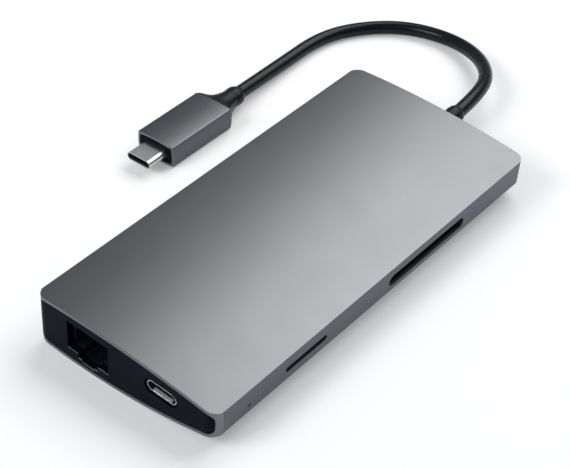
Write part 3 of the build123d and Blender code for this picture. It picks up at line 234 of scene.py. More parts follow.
# one entry for each finish: colours are linear, cloud and grain are the scales of their noise,
# depth is the grain's bump, marks how strong the rubs are
finishes = {
    "anodisedGrey": {
        "colour": (0.163, 0.168, 0.177), "other": (0.168, 0.173, 0.182), "metal": 1.0,
        "rough": (0.36, 0.38), "cloud": 35, "grain": 5200, "depth": 0.035, "marks": 0.03},
    # painted shade: a darker copy of the anodised grey for the flat side walls, standing for the darker
    # surroundings they reflect
    "anodisedPaintedShadeSide": {
        "colour": (0.098, 0.108, 0.122), "other": (0.104, 0.114, 0.129), "metal": 1.0,
        "rough": (0.36, 0.38), "cloud": 35, "grain": 5200, "depth": 0.035, "marks": 0.03},
    # polished chamfer and painted highlight: a lighter, glossier copy of the anodised grey for the broken
    # edges
    "polishedEdgeAndPaintedHighlight": {
        "colour": (0.42, 0.43, 0.45), "other": (0.47, 0.48, 0.50), "metal": 1.0,
        "rough": (0.29, 0.34), "cloud": 90, "grain": 6000, "depth": 0.02, "marks": 0.3},
    "capBlack": {
        "colour": (0.0016, 0.0034, 0.0074), "other": (0.0022, 0.0042, 0.0088), "metal": 0.0,
        "rough": (0.42, 0.50), "cloud": 45, "grain": 5600, "depth": 0.05, "marks": 0.1, "shine": 0.03},
    # painted highlight: a lighter copy of the cap's black for its broken edges, for the light lines they
    # catch
    "capEdgePaintedHighlight": {
        "colour": (0.0060, 0.0080, 0.0120), "other": (0.0080, 0.0105, 0.0150), "metal": 0.0,
        "rough": (0.30, 0.38), "cloud": 45, "grain": 5600, "depth": 0.03, "marks": 0.1, "shine": 0.5},
    "jackBlack": {
        "colour": (0.0040, 0.0050, 0.0075), "other": (0.0060, 0.0072, 0.0100), "metal": 0.0,
        "rough": (0.38, 0.5), "cloud": 120, "grain": 7000, "depth": 0.05, "marks": 0.1, "shine": 0.2},
    # painted highlight: a light grey on black plastic, for the lower edges of the jack's mouth that face up
    "ledgePaintedHighlight": {
        "colour": (0.155, 0.170, 0.190), "other": (0.175, 0.190, 0.210), "metal": 0.0,
        "rough": (0.30, 0.38), "cloud": 120, "grain": 7000, "depth": 0.03, "marks": 0.1, "shine": 0.8},
    "trayGrey": {
        "colour": (0.030, 0.031, 0.034), "other": (0.040, 0.041, 0.044), "metal": 0.0,
        "rough": (0.5, 0.62), "cloud": 60, "grain": 4500, "depth": 0.06, "marks": 0.1},
    "boardMask": {
        "colour": (0.008, 0.020, 0.016), "other": (0.012, 0.030, 0.024), "metal": 0.0,
        "rough": (0.3, 0.4), "cloud": 150, "grain": 2600, "depth": 0.03, "marks": 0.0},
    "screwSteel": {
        "colour": (0.36, 0.36, 0.37), "other": (0.44, 0.44, 0.45), "metal": 1.0,
        "rough": (0.28, 0.4), "cloud": 300, "grain": 6000, "depth": 0.04, "marks": 0.5},
    "socketSteel": {
        "colour": (0.52, 0.52, 0.51), "other": (0.60, 0.60, 0.59), "metal": 1.0,
        "rough": (0.285, 0.36), "cloud": 160, "grain": 5000, "depth": 0.03, "marks": 0.5},
    "contactGold": {
        "colour": (0.72, 0.50, 0.20), "other": (0.80, 0.58, 0.26), "metal": 1.0,
        "rough": (0.2, 0.3), "cloud": 400, "grain": 6000, "depth": 0.02, "marks": 0.4},
    "chipResin": {
        "colour": (0.012, 0.012, 0.013), "other": (0.018, 0.018, 0.019), "metal": 0.0,
        "rough": (0.5, 0.62), "cloud": 200, "grain": 7000, "depth": 0.08, "marks": 0.1},
    "ferriteGrey": {
        "colour": (0.030, 0.030, 0.032), "other": (0.052, 0.052, 0.055), "metal": 0.0,
        "rough": (0.6, 0.75), "cloud": 500, "grain": 5000, "depth": 0.12, "marks": 0.0},
    "ceramicTan": {
        "colour": (0.30, 0.19, 0.10), "other": (0.38, 0.26, 0.15), "metal": 0.0,
        "rough": (0.35, 0.5), "cloud": 700, "grain": 7000, "depth": 0.05, "marks": 0.0},
    "crystalCan": {
        "colour": (0.55, 0.55, 0.56), "other": (0.64, 0.64, 0.65), "metal": 1.0,
        "rough": (0.2, 0.32), "cloud": 300, "grain": 5200, "depth": 0.03, "marks": 0.5},
    "padBlue": {
        "colour": (0.16, 0.22, 0.30), "other": (0.20, 0.27, 0.36), "metal": 0.0,
        "rough": (0.6, 0.7), "cloud": 250, "grain": 3000, "depth": 0.12, "marks": 0.0},
    "spreaderCopper": {
        "colour": (0.62, 0.30, 0.19), "other": (0.50, 0.23, 0.14), "metal": 1.0,
        "rough": (0.26, 0.42), "cloud": 120, "grain": 5000, "depth": 0.03, "marks": 0.6},
    "cordJacketBlack": {
        "colour": (0.0016, 0.0034, 0.0066), "other": (0.0022, 0.0042, 0.0078), "metal": 0.0,
        "rough": (0.24, 0.30), "cloud": 90, "grain": 3800, "depth": 0.05, "marks": 0.1, "shine": 0.2},
    "bootBlack": {
        "colour": (0.0016, 0.0034, 0.0066), "other": (0.0022, 0.0042, 0.0078), "metal": 0.0,
        "rough": (0.34, 0.42), "cloud": 110, "grain": 4600, "depth": 0.06, "marks": 0.1, "shine": 0.2},
    "plugNickel": {
        "colour": (0.58, 0.585, 0.57), "other": (0.63, 0.635, 0.62), "metal": 1.0,
        "rough": (0.285, 0.33), "cloud": 60, "grain": 1500, "depth": 0.003, "marks": 0.05},
    "mouthNickel": {
        "colour": (0.46, 0.47, 0.48), "other": (0.52, 0.53, 0.54), "metal": 1.0,
        "rough": (0.28, 0.36), "cloud": 160, "grain": 3000, "depth": 0.01, "marks": 0.2},
    # painted shade: the nickel shell's inner wall made near black, for the shade inside the inlet
    "mouthPaintedShade": {
        "colour": (0.010, 0.011, 0.013), "other": (0.014, 0.015, 0.017), "metal": 0.0,
        "rough": (0.40, 0.50), "cloud": 160, "grain": 3000, "depth": 0.01, "marks": 0.1, "shine": 0.2},
    # painted light: a near-white copy of the nickel for the ribs at the inlet's mouth, for the lit floor of
    # the shell
    "ribNickelPaintedLight": {
        "colour": (0.78, 0.79, 0.79), "other": (0.84, 0.85, 0.85), "metal": 0.35,
        "rough": (0.42, 0.52), "cloud": 160, "grain": 3000, "depth": 0.01, "marks": 0.1},
    "wireCoat": {
        "colour": (0.30, 0.30, 0.29), "other": (0.38, 0.38, 0.36), "metal": 0.0,
        "rough": (0.4, 0.5), "cloud": 300, "grain": 4000, "depth": 0.05, "marks": 0.0},
    "clearPipe": {
        "colour": (0.80, 0.82, 0.84), "other": (0.88, 0.90, 0.92), "metal": 0.0,
        "rough": (0.15, 0.25), "cloud": 400, "grain": 6000, "depth": 0.02, "marks": 0.0},
}


finishDetail = {
    "marksScale": 6,             # times the cloud's
    "glossScale": 2.7,
    "rubGain": 1.25,             # a rub is this much lighter, plus the lift
    "rubLift": 0.002,
    "grainHeight": 0.0001,       # m
    "pipeClear": 0.6,
}


def makeFinish(name, look):
    material = bpy.data.materials.new(name)
    material.use_nodes = True
    tree = material.node_tree
    shader = tree.nodes["Principled BSDF"]
    place = tree.nodes.new("ShaderNodeTexCoord").outputs["Object"]
    shader.inputs["Metallic"].default_value = look["metal"]
    shader.inputs["Specular IOR Level"].default_value = look.get("shine", 0.5)
    tone = useGroup(tree, "slowCloud", place, Size=look["cloud"], Low=0.0, High=1.0)
    colour = addNode(tree, "ShaderNodeMix", data_type="RGBA")
    colour.inputs["A"].default_value = (*look["colour"], 1)
    colour.inputs["B"].default_value = (*look["other"], 1)
    tree.links.new(tone, colour.inputs["Factor"])
    marks = useGroup(tree, "handlingMarks", place, Size=look["cloud"] * finishDetail["marksScale"],
                     Amount=look["marks"])
    rub = addNode(tree, "ShaderNodeMix", data_type="RGBA", blend_type="MIX")
    lighter = [min(1.0, part * finishDetail["rubGain"] + finishDetail["rubLift"]) for part in look["other"]]
    rub.inputs["B"].default_value = (*lighter, 1)
    tree.links.new(marks, rub.inputs["Factor"])
    tree.links.new(colour.outputs["Result"], rub.inputs["A"])
    tree.links.new(rub.outputs["Result"], shader.inputs["Base Color"])
    gloss = useGroup(tree, "slowCloud", place, Size=look["cloud"] * finishDetail["glossScale"],
                     Low=look["rough"][0], High=look["rough"][1])
    tree.links.new(gloss, shader.inputs["Roughness"])
    grain = useGroup(tree, "fineGrain", place, Size=look["grain"])
    bump = addNode(tree, "ShaderNodeBump")
    bump.inputs["Strength"].default_value = look["depth"]
    bump.inputs["Distance"].default_value = finishDetail["grainHeight"]
    tree.links.new(grain, bump.inputs["Height"])
    tree.links.new(bump.outputs["Normal"], shader.inputs["Normal"])
    return material


made = {name: makeFinish(name, look) for name, look in finishes.items()}
pipeShader = made["clearPipe"].node_tree.nodes["Principled BSDF"]
pipeShader.inputs["Transmission Weight"].default_value = finishDetail["pipeClear"]
print("finishes made:", len(made))

# each record slot's finish on the CAD pieces that stay as they are
slotFinish = {
    "sleeve_alu": "anodisedGrey", "cap_plastic": "capBlack", "inner_plastic": "jackBlack",
    "tray_plastic": "trayGrey", "board_laminate": "boardMask", "screw_steel": "screwSteel",
    "socket_steel": "socketSteel", "contact_brass": "contactGold", "chip_resin": "chipResin",
    "ferrite": "ferriteGrey", "ceramic": "ceramicTan", "crystal_can": "crystalCan",
    "pad_silicone": "padBlue", "spreader_copper": "spreaderCopper", "clear_plastic": "clearPipe",
    "cord_jacket": "cordJacketBlack", "boot_elastomer": "bootBlack", "plug_nickel": "plugNickel",
    "wire_insulation": "wireCoat",
}
slotOf = {}
for name, piece in nodes.items():
    slotOf[name] = piece.material_slots[0].material.name.split(".")[0]
    piece.material_slots[0].material = made[slotFinish[slotOf[name]]]


# working by hand: select, edit, finish
near = 0.01      # mm, within which two places are the same
facing = 0.9     # share of a normal along an axis, from which a face looks that way


def workOn(piece):
    if bpy.context.object and bpy.context.object.mode != "OBJECT":
        bpy.ops.object.mode_set(mode="OBJECT")
    bpy.ops.object.select_all(action="DESELECT")
    piece.select_set(True)
    bpy.context.view_layer.objects.active = piece


def applyModifier(piece, kind, **settings):
    workOn(piece)
    modifier = piece.modifiers.new(kind.lower(), kind)
    for key, value in settings.items():
        setattr(modifier, key, value)
    bpy.ops.object.modifier_apply(modifier=modifier.name)


def smoothOff(piece, angle):
    workOn(piece)
    bpy.ops.object.shade_smooth_by_angle(angle=math.radians(angle))
    applyModifier(piece, "WEIGHTED_NORMAL", keep_sharp=True)


def pickFaces(piece, test):    # select the faces whose middle (mm) and normal pass the test
    bpy.ops.mesh.select_mode(type="FACE")
    bpy.ops.mesh.select_all(action="DESELECT")
    mesh = bmesh.from_edit_mesh(piece.data)
    for face in mesh.faces:
        face.select_set(bool(test(face.calc_center_median() / mm, face.normal)))
    bmesh.update_edit_mesh(piece.data)


def pickEdges(piece, test):    # select the edges whose two ends (mm) pass the test
    bpy.ops.mesh.select_mode(type="EDGE")
    bpy.ops.mesh.select_all(action="DESELECT")
    mesh = bmesh.from_edit_mesh(piece.data)
    for edge in mesh.edges:
        edge.select_set(bool(test(edge.verts[0].co / mm, edge.verts[1].co / mm)))
    bmesh.update_edit_mesh(piece.data)


def keepEdges(piece, test):    # of the selected edges, keep those whose middle (mm) passes the test
    mesh = bmesh.from_edit_mesh(piece.data)
    for edge in [edge for edge in mesh.edges if edge.select]:
        if not test((edge.verts[0].co + edge.verts[1].co) / 2 / mm):
            edge.select_set(False)
    bmesh.update_edit_mesh(piece.data)


def middleOf(node):
    low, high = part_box(node)
    return (Vector(low) + Vector(high)) / 2


def settle(piece, at, lean=0.0):    # move a piece from the origin to its place, and apply the move
    workOn(piece)
    piece.rotation_euler = (0, math.radians(lean), 0)
    piece.location = at
    bpy.ops.object.transform_apply(location=True, rotation=True, scale=True)


def standIn(piece, node, *finishNames):    # the piece takes a node's place
    piece.data.materials.clear()
    for finishName in finishNames:
        piece.data.materials.append(made[finishName])
    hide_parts(node)
    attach(piece, nodes[node]["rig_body"])
    return piece


copyLook = {"mergeWithin": 0.001, "flatWithin": 0.4, "sharpFrom": 30, "segments": 2}    # mm and degrees


def softCopy(name, node, edge, finishNames, keep=None):
    # the CAD piece again, merged, with its sharp edges broken; keep picks which edges, by place
    piece = bpy.data.objects.new(name, nodes[node].data.copy())
    bpy.context.scene.collection.objects.link(piece)
    workOn(piece)
    bpy.ops.mesh.customdata_custom_splitnormals_clear()
    bpy.ops.object.mode_set(mode="EDIT")
    bpy.ops.mesh.select_all(action="SELECT")
    bpy.ops.mesh.remove_doubles(threshold=copyLook["mergeWithin"] * mm)
    bpy.ops.mesh.dissolve_limited(angle_limit=math.radians(copyLook["flatWithin"]))
    bpy.ops.mesh.select_all(action="DESELECT")
    bpy.ops.mesh.select_mode(type="EDGE")
    bpy.ops.mesh.edges_select_sharp(sharpness=math.radians(copyLook["sharpFrom"]))
    if keep:
        keepEdges(piece, keep)
    # the bevel's faces take the last finish given, which on some pieces is a painted highlight
    bpy.ops.mesh.bevel(offset=edge * mm, segments=copyLook["segments"], clamp_overlap=False,
                       material=len(finishNames) - 1)
    bpy.ops.object.mode_set(mode="OBJECT")
    smoothOff(piece, copyLook["sharpFrom"])
    faces = [face.material_index for face in piece.data.polygons]
    standIn(piece, node, *finishNames)
    piece.data.polygons.foreach_set("material_index", faces)
    return piece


def finishFaces(piece, finishName, test):    # the faces that pass the test take a finish of their own
    piece.data.materials.append(made[finishName])
    workOn(piece)
    bpy.ops.object.mode_set(mode="EDIT")
    pickFaces(piece, test)
    piece.active_material_index = len(piece.data.materials) - 1
    bpy.ops.object.material_slot_assign()
    bpy.ops.object.mode_set(mode="OBJECT")


# housing: the edges that are broken, and by how much
hub = {"lean": 4.0}              # degrees, on its curved belly
housing = {                      # mm
    "rim": 0.12, "rimBand": 1.5,
    "cap": 0.1, "capBand": 1.5, "capSide": 22, "capFace": 0.2,
    "plug": 0.14,
    "mouth": 0.15, "mouthBand": 8,
}
# walls whose normal lies this nearly along X take the painted shade
flatWall = 0.985                 # how nearly a wall's normal lies along X
# the lower edges of the jack's mouth that tilt up and forward take a painted highlight
ledge = {"tilt": (0.3, 0.97), "forward": -0.2, "reach": 9.0}    # lower edges of the jack's mouth
hubEnds = [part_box("shell_sleeve")[side][1] / mm for side in (0, 1)]


def nearHubEnd(middle):
    return middle.y < hubEnds[0] + housing["rimBand"] or middle.y > hubEnds[1] - housing["rimBand"]


# the edges picked here are bevelled and take the cap's painted highlight
def onCapEdge(middle):    # on the cap's face, and deeper at its two sides
    band = housing["capBand"] if abs(middle.x) > housing["capSide"] else housing["capFace"]
    return middle.y < hubEnds[0] + band


def inMouth(middle):
    return middle.y < hubEnds[0] + housing["mouthBand"]


# the sleeve and the barrel, with a polished chamfer and painted highlight on their broken edges
anodisedWithEdgeHighlight = ["anodisedGrey", "polishedEdgeAndPaintedHighlight"]
hubSleeve = softCopy("hubSleeve", "shell_sleeve", housing["rim"], anodisedWithEdgeHighlight, keep=nearHubEnd)
frontCap = softCopy("frontCap", "front_end_cap", housing["cap"], ["capBlack", "capEdgePaintedHighlight"], keep=onCapEdge)
softCopy("rearCap", "rear_end_cap", housing["cap"], ["capBlack"])
plugBarrel = softCopy("plugBarrel", "plug_sleeve", housing["plug"], anodisedWithEdgeHighlight)
plugBezel = softCopy("plugBezel", "plug_bezel", housing["cap"], ["capBlack"])
jackBody = softCopy("jackBody", "network_jack_body", housing["mouth"], ["jackBlack", "ledgePaintedHighlight"],
                    keep=inMouth)
jackMiddle = middleOf("network_jack_body") / mm


# faces of the cap under the jack's middle that tilt up and forward, which take the painted highlight
def ledgeHighlightFace(middle, normal):
    tilted = ledge["tilt"][0] < normal.z < ledge["tilt"][1] and normal.y < ledge["forward"]
    return tilted and middle.z < jackMiddle.z and abs(middle.x - jackMiddle.x) < ledge["reach"]


# painted shade on the flat side walls of the sleeve and the plug's barrel
for piece in (hubSleeve, plugBarrel):
    finishFaces(piece, "anodisedPaintedShadeSide", lambda middle, normal: abs(normal.x) > flatWall)
# only the jack's bevels that face up keep the painted highlight, the rest turn back to black
finishFaces(jackBody, "jackBlack", lambda middle, normal: normal.z < ledge["tilt"][0])
finishFaces(frontCap, "ledgePaintedHighlight", ledgeHighlightFace)
print("housing softened")

# oval metal shells of the plug and the inlet, in mm
ovalShells = {
    "plugShell": {
        "node": "plug_shell", "finish": "plugNickel", "width": 8.25, "height": 2.4,
        "wall": 0.2, "rim": 0.07, "lean": 0.0},
    "inletShell": {
        "node": "power_inlet_shell", "finish": "mouthNickel", "width": 8.94, "height": 3.26,
        "wall": 0.3, "rim": 0.09, "lean": hub["lean"]},
}
ovalDetail = {"sides": 64, "rimSteps": 3, "smooth": 35}


def addOvalShell(name, look):
    low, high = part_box(look["node"])
    length = high[1] - low[1]
    bpy.ops.object.select_all(action="DESELECT")
    bpy.ops.mesh.primitive_cylinder_add(vertices=ovalDetail["sides"], radius=look["height"] / 2 * mm,
                                        depth=length, rotation=(math.pi / 2, 0, 0))
    piece = bpy.context.object
    piece.name = name
    bpy.ops.object.transform_apply(location=True, rotation=True, scale=True)
    bpy.ops.object.mode_set(mode="EDIT")
    shift = (look["width"] - look["height"]) / 2 * mm
    for side in (-1, 1):    # pull the two halves apart
        bpy.ops.mesh.select_mode(type="VERT")
        bpy.ops.mesh.select_all(action="DESELECT")
        mesh = bmesh.from_edit_mesh(piece.data)
        for point in mesh.verts:
            point.select_set(point.co.x * side / mm > near)
        bmesh.update_edit_mesh(piece.data)
        bpy.ops.transform.translate(value=(side * shift, 0, 0))
    pickFaces(piece, lambda middle, normal: abs(normal.y) > facing)
    bpy.ops.mesh.inset(thickness=look["wall"] * mm, use_individual=True)
    bpy.ops.mesh.bridge_edge_loops()
    bpy.ops.mesh.select_all(action="SELECT")
    bpy.ops.mesh.normals_make_consistent(inside=False)
    front = -length / 2 / mm
    pickEdges(piece, lambda one, two: max(one.y, two.y) < front + near
              and max(abs(one.x - two.x), abs(one.z - two.z)) > 2 * near)    # round the rim
    bpy.ops.mesh.bevel(offset=look["rim"] * mm, segments=ovalDetail["rimSteps"], clamp_overlap=True)
    bpy.ops.object.mode_set(mode="OBJECT")
    settle(piece, middleOf(look["node"]), look["lean"])
    smoothOff(piece, ovalDetail["smooth"])
    return standIn(piece, look["node"], look["finish"])


shells = {name: addOvalShell(name, look) for name, look in ovalShells.items()}
inletMiddle = middleOf("power_inlet_shell") / mm


def facesIn(middle, normal):    # the inlet's inner wall
    outward = Vector((middle.x - inletMiddle.x, 0, middle.z - inletMiddle.z))
    return abs(normal.y) < 0.5 and outward.dot(normal) < 0


# painted shade on the inlet's inner wall
finishFaces(shells["inletShell"], "mouthPaintedShade", facesIn)
print("oval shells made")

# fine ribs on the floor of the inlet's shell, in mm
ribs = {
    "count": 17, "pitch": 0.34, "width": 0.22, "height": 0.13, "length": 0.95, "setback": 0.12,
    "sunk": 0.02, "edge": 0.04, "edgeSteps": 2, "smooth": 35,
}


def addInletRibs(look, shell):
    low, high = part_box(shell["node"])
    front = -(high[1] - low[1]) / 2 / mm
    floorAt = -shell["height"] / 2 + shell["wall"]
    first = Vector((-look["pitch"] * (look["count"] - 1) / 2, front + look["setback"] + look["length"] / 2,
                    floorAt + look["height"] / 2 - look["sunk"]))
    bpy.ops.object.select_all(action="DESELECT")
    bpy.ops.mesh.primitive_cube_add(size=mm, location=first * mm,
                                    scale=(look["width"], look["length"], look["height"]))
    piece = bpy.context.object
    piece.name = "inletRibs"
    bpy.ops.object.transform_apply(location=True, rotation=True, scale=True)
    bpy.ops.object.mode_set(mode="EDIT")
    pickEdges(piece, lambda one, two: min(one.z, two.z) > floorAt + look["sunk"])    # the top edges
    bpy.ops.mesh.bevel(offset=look["edge"] * mm, segments=look["edgeSteps"])
    bpy.ops.mesh.select_all(action="SELECT")
    for step in range(look["count"] - 1):
        bpy.ops.mesh.duplicate_move(TRANSFORM_OT_translate={"value": (look["pitch"] * mm, 0, 0)})
    bpy.ops.object.mode_set(mode="OBJECT")
    settle(piece, middleOf(shell["node"]), shell["lean"])
    smoothOff(piece, look["smooth"])
    # the ribs take the nickel's painted light
    piece.data.materials.append(made["ribNickelPaintedLight"])
    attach(piece, "station")


addInletRibs(ribs, ovalShells["inletShell"])
print("inlet ribs made")

# strain reliefs: stations along each boot's axis, in mm from the housing that it leaves
hubBootLook = {
    "sides": 48, "flange": 4.5, "flangeThick": 1.1, "tail": 3.2, "bore": 1.55, "smooth": 50,
    "stations": [    # distance, diameter
        (0.0, 7.7), (0.5, 7.7), (1.3, 7.45), (2.1, 6.9), (2.9, 6.15), (3.7, 5.5), (4.6, 5.12), (5.8, 5.0),
        (6.6, 5.02), (7.1, 5.14), (7.7, 5.2), (8.5, 5.18), (9.2, 5.0), (9.7, 4.6), (9.95, 4.1), (10.0, 3.4),
    ],
}
plugBootLook = {
    "tail": 2.4, "wide": 11.3, "high": 5.4, "grid": (8, 4), "levels": 2, "smooth": 60,
    "stations": [    # distance, width, height, share of a round outline
        (-0.1, 11.3, 5.4, 0.0), (0.02, 12.4, 6.5, 0.0), (0.15, 12.5, 6.6, 0.0), (0.6, 12.0, 6.5, 0.05),
        (1.3, 10.9, 6.36, 0.15), (2.2, 9.6, 6.2, 0.32), (3.2, 8.3, 6.02, 0.52), (4.2, 7.3, 5.86, 0.72),
        (5.2, 6.5, 5.7, 0.88), (6.1, 5.9, 5.6, 1.0), (6.9, 5.66, 5.56, 1.0), (7.5, 5.74, 5.7, 1.0),
        (8.2, 5.84, 5.82, 1.0), (9.0, 5.8, 5.8, 1.0), (9.7, 5.5, 5.5, 1.0), (10.2, 5.0, 5.0, 1.0),
        (10.5, 4.5, 4.5, 1.0), (10.6, 3.8, 3.8, 1.0),
    ],
}


def endSize(piece):    # width and height of the selected face, in mm
    mesh = bmesh.from_edit_mesh(piece.data)
    points = [point.co for face in mesh.faces if face.select for point in face.verts]
    spans = [[point[axis] for point in points] for axis in (0, 2)]
    return [(max(span) - min(span)) / mm for span in spans]


def carryOn(piece, far, distance, wide, high, roundness=0.0):
    # draw the end face out from far to distance, with a new outline
    bpy.ops.mesh.extrude_region_move(TRANSFORM_OT_translate={"value": (0, (distance - far) * mm, 0)})
    if roundness:
        bpy.ops.transform.tosphere(value=roundness)
    nowWide, nowHigh = endSize(piece)
    bpy.ops.transform.resize(value=(wide / nowWide, 1, high / nowHigh), center_override=(0, distance * mm, 0))
    return distance


def addHubBoot(look):
    bpy.ops.object.select_all(action="DESELECT")
    bpy.ops.mesh.primitive_cylinder_add(vertices=look["sides"], radius=look["flange"] * mm,
                                        depth=look["flangeThick"] * mm, rotation=(math.pi / 2, 0, 0),
                                        location=(0, (look["flangeThick"] / 2 - look["tail"]) * mm, 0))
    piece = bpy.context.object
    piece.name = "hubBoot"
    bpy.ops.object.transform_apply(location=True, rotation=True, scale=True)
    bpy.ops.object.mode_set(mode="EDIT")
    pickFaces(piece, lambda middle, normal: normal.y < -facing)    # bore for the cord's core
    bpy.ops.mesh.inset(thickness=(look["flange"] - look["bore"]) * mm)
    bpy.ops.mesh.extrude_region_move(TRANSFORM_OT_translate={"value": (0, look["tail"] * mm, 0)})
    pickFaces(piece, lambda middle, normal: normal.y > facing)
    root = look["stations"][0][1]
    bpy.ops.mesh.inset(thickness=(look["flange"] - root / 2) * mm)
    far = look["flangeThick"] - look["tail"]
    for distance, wide in look["stations"]:
        far = carryOn(piece, far, distance, wide, wide)
    bpy.ops.object.mode_set(mode="OBJECT")
    middle = middleOf("cord_boot")
    settle(piece, (middle.x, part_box("rear_end_cap")[1][1], middle.z), hub["lean"])
    smoothOff(piece, look["smooth"])
    standIn(piece, "cord_boot", "bootBlack")


def addPlugBoot(look):
    bpy.ops.object.select_all(action="DESELECT")
    across, up = look["grid"]
    bpy.ops.mesh.primitive_grid_add(x_subdivisions=across, y_subdivisions=up, size=mm,
                                    location=(0, -look["tail"] * mm, 0), rotation=(-math.pi / 2, 0, 0))
    piece = bpy.context.object
    piece.name = "plugBoot"
    piece.scale = (look["wide"], look["high"], 1)
    bpy.ops.object.transform_apply(location=True, rotation=True, scale=True)
    bpy.ops.object.mode_set(mode="EDIT")
    bpy.ops.mesh.select_all(action="SELECT")
    bpy.ops.mesh.dissolve_faces(use_verts=False)
    far = -look["tail"]
    for distance, wide, high, roundness in look["stations"]:
        far = carryOn(piece, far, distance, wide, high, roundness)
    pickEdges(piece, lambda one, two: max(one.y, two.y) < -look["tail"] + near)
    bpy.ops.mesh.edge_face_add()    # close the tail
    bpy.ops.mesh.select_all(action="SELECT")
    bpy.ops.mesh.normals_make_consistent(inside=False)
    bpy.ops.object.mode_set(mode="OBJECT")
    applyModifier(piece, "SUBSURF", levels=look["levels"], render_levels=look["levels"])
    middle = middleOf("plug_sleeve")
    settle(piece, (middle.x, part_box("plug_sleeve")[1][1], middle.z))
    smoothOff(piece, look["smooth"])
    return standIn(piece, "plug_boot", "bootBlack")


addHubBoot(hubBootLook)
plugBoot = addPlugBoot(plugBootLook)
print("strain reliefs made")

# sprung wires of the network jack, in mm; each runs back and down from its root
jackWires = {
    "count": 8, "pitch": 1.02, "radius": 0.19, "sides": 12, "root": 0.4,
    "bends": [(0.774, -0.06), (1.376, -0.34), (4.816, -1.5), (1.032, -0.3)],    # along, down
    "setback": 0.25, "drop": 0.72, "aside": 1.1, "smooth": 40,    # aside is what the lean acts on
}


def addJackWires(look):
    bpy.ops.object.select_all(action="DESELECT")
    bpy.ops.mesh.primitive_cylinder_add(vertices=look["sides"], radius=look["radius"] * mm,
                                        depth=look["root"] * mm, rotation=(math.pi / 2, 0, 0))
    piece = bpy.context.object
    piece.name = "jackWires"
    bpy.ops.object.transform_apply(location=True, rotation=True, scale=True)
    bpy.ops.object.mode_set(mode="EDIT")
    pickFaces(piece, lambda middle, normal: normal.y > facing)
    for along, down in look["bends"]:
        bpy.ops.mesh.extrude_region_move(TRANSFORM_OT_translate={"value": (0, along * mm, down * mm)})
    bpy.ops.mesh.select_all(action="SELECT")
    bpy.ops.transform.translate(value=(-look["pitch"] * (look["count"] - 1) / 2 * mm, 0, 0))
    for step in range(look["count"] - 1):
        bpy.ops.mesh.duplicate_move(TRANSFORM_OT_translate={"value": (look["pitch"] * mm, 0, 0)})
    bpy.ops.object.mode_set(mode="OBJECT")
    low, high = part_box("network_jack_wires")
    middle = middleOf("network_jack_wires")
    aside = math.sin(math.radians(hub["lean"])) * look["aside"] * mm
    settle(piece, (middle.x + aside, low[1] + look["setback"] * mm, high[2] - look["drop"] * mm), hub["lean"])
    smoothOff(piece, look["smooth"])
    standIn(piece, "network_jack_wires", "contactGold")


addJackWires(jackWires)
print("jack wires made")

dataSockets = (1, 2, 3)
rolledEdge = 0.09    # mm, on the shells of the side sockets

# leaf springs inside the data sockets' shells, in mm; x runs into the socket
leafSpring = {
    "length": 5.2, "width": 1.5, "sheet": 0.12, "bow": 0.3, "cuts": 7, "setback": 1.6, "spread": 2.6,
    "shellDepth": 14.0, "shellHeight": 5.7, "shellWall": 0.3, "smooth": 40,
}


def addLeafSprings(look):
    bpy.ops.object.select_all(action="DESELECT")
    bpy.ops.mesh.primitive_cube_add(size=mm, scale=(look["length"], look["width"], look["sheet"]))
    pattern = bpy.context.object
    bpy.ops.object.transform_apply(location=True, rotation=True, scale=True)
    bpy.ops.object.mode_set(mode="EDIT")
    pickEdges(pattern, lambda one, two: abs(one.x - two.x) > look["length"] / 2)
    bpy.ops.mesh.subdivide(number_cuts=look["cuts"])
    for cut in range(1, look["cuts"] + 1):    # bow the middle away from the shell
        along = cut / (look["cuts"] + 1)
        place = (along - 0.5) * look["length"]
        pickEdges(pattern, lambda one, two: abs(one.x - place) < near and abs(two.x - place) < near)
        bpy.ops.transform.translate(value=(0, 0, -look["bow"] * math.sin(along * math.pi) ** 2 * mm))
    bpy.ops.object.mode_set(mode="OBJECT")
    smoothOff(pattern, look["smooth"])
    lean = math.radians(hub["lean"])
    inward = (look["setback"] + look["length"] / 2 - look["shellDepth"] / 2) * mm
    clear = (look["shellHeight"] / 2 - look["shellWall"] - look["sheet"] / 2) * mm
    count = 0
    for number in dataSockets:
        middle = middleOf(f"type_a_shell_{number}")
        for roof in (1, -1):
            for side in (1, -1):
                count += 1
                piece = bpy.data.objects.new(f"leafSpring{count}", pattern.data.copy())
                bpy.context.scene.collection.objects.link(piece)
                if roof < 0:
                    workOn(piece)
                    piece.rotation_euler = (math.pi, 0, 0)
                    bpy.ops.object.transform_apply(location=True, rotation=True, scale=True)
                rise = roof * clear
                offset = Vector((inward * math.cos(lean) + rise * math.sin(lean), side * look["spread"] * mm,
                                 rise * math.cos(lean) - inward * math.sin(lean)))
                settle(piece, middle + offset, hub["lean"])
                piece.data.materials.clear()
                piece.data.materials.append(made["socketSteel"])
                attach(piece, "station")
    bpy.data.objects.remove(pattern)


addLeafSprings(leafSpring)
for number in dataSockets:
    softCopy(f"dataShell{number}", f"type_a_shell_{number}", rolledEdge, ["socketSteel"])
softCopy("videoShell", "video_socket_shell", rolledEdge, ["socketSteel"])
print("side sockets detailed")

# the cord gets its finish, takes the CAD cord's place and joins the station body
cord.data.materials.append(made["cordJacketBlack"])
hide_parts("cord")
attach(cord, "station")

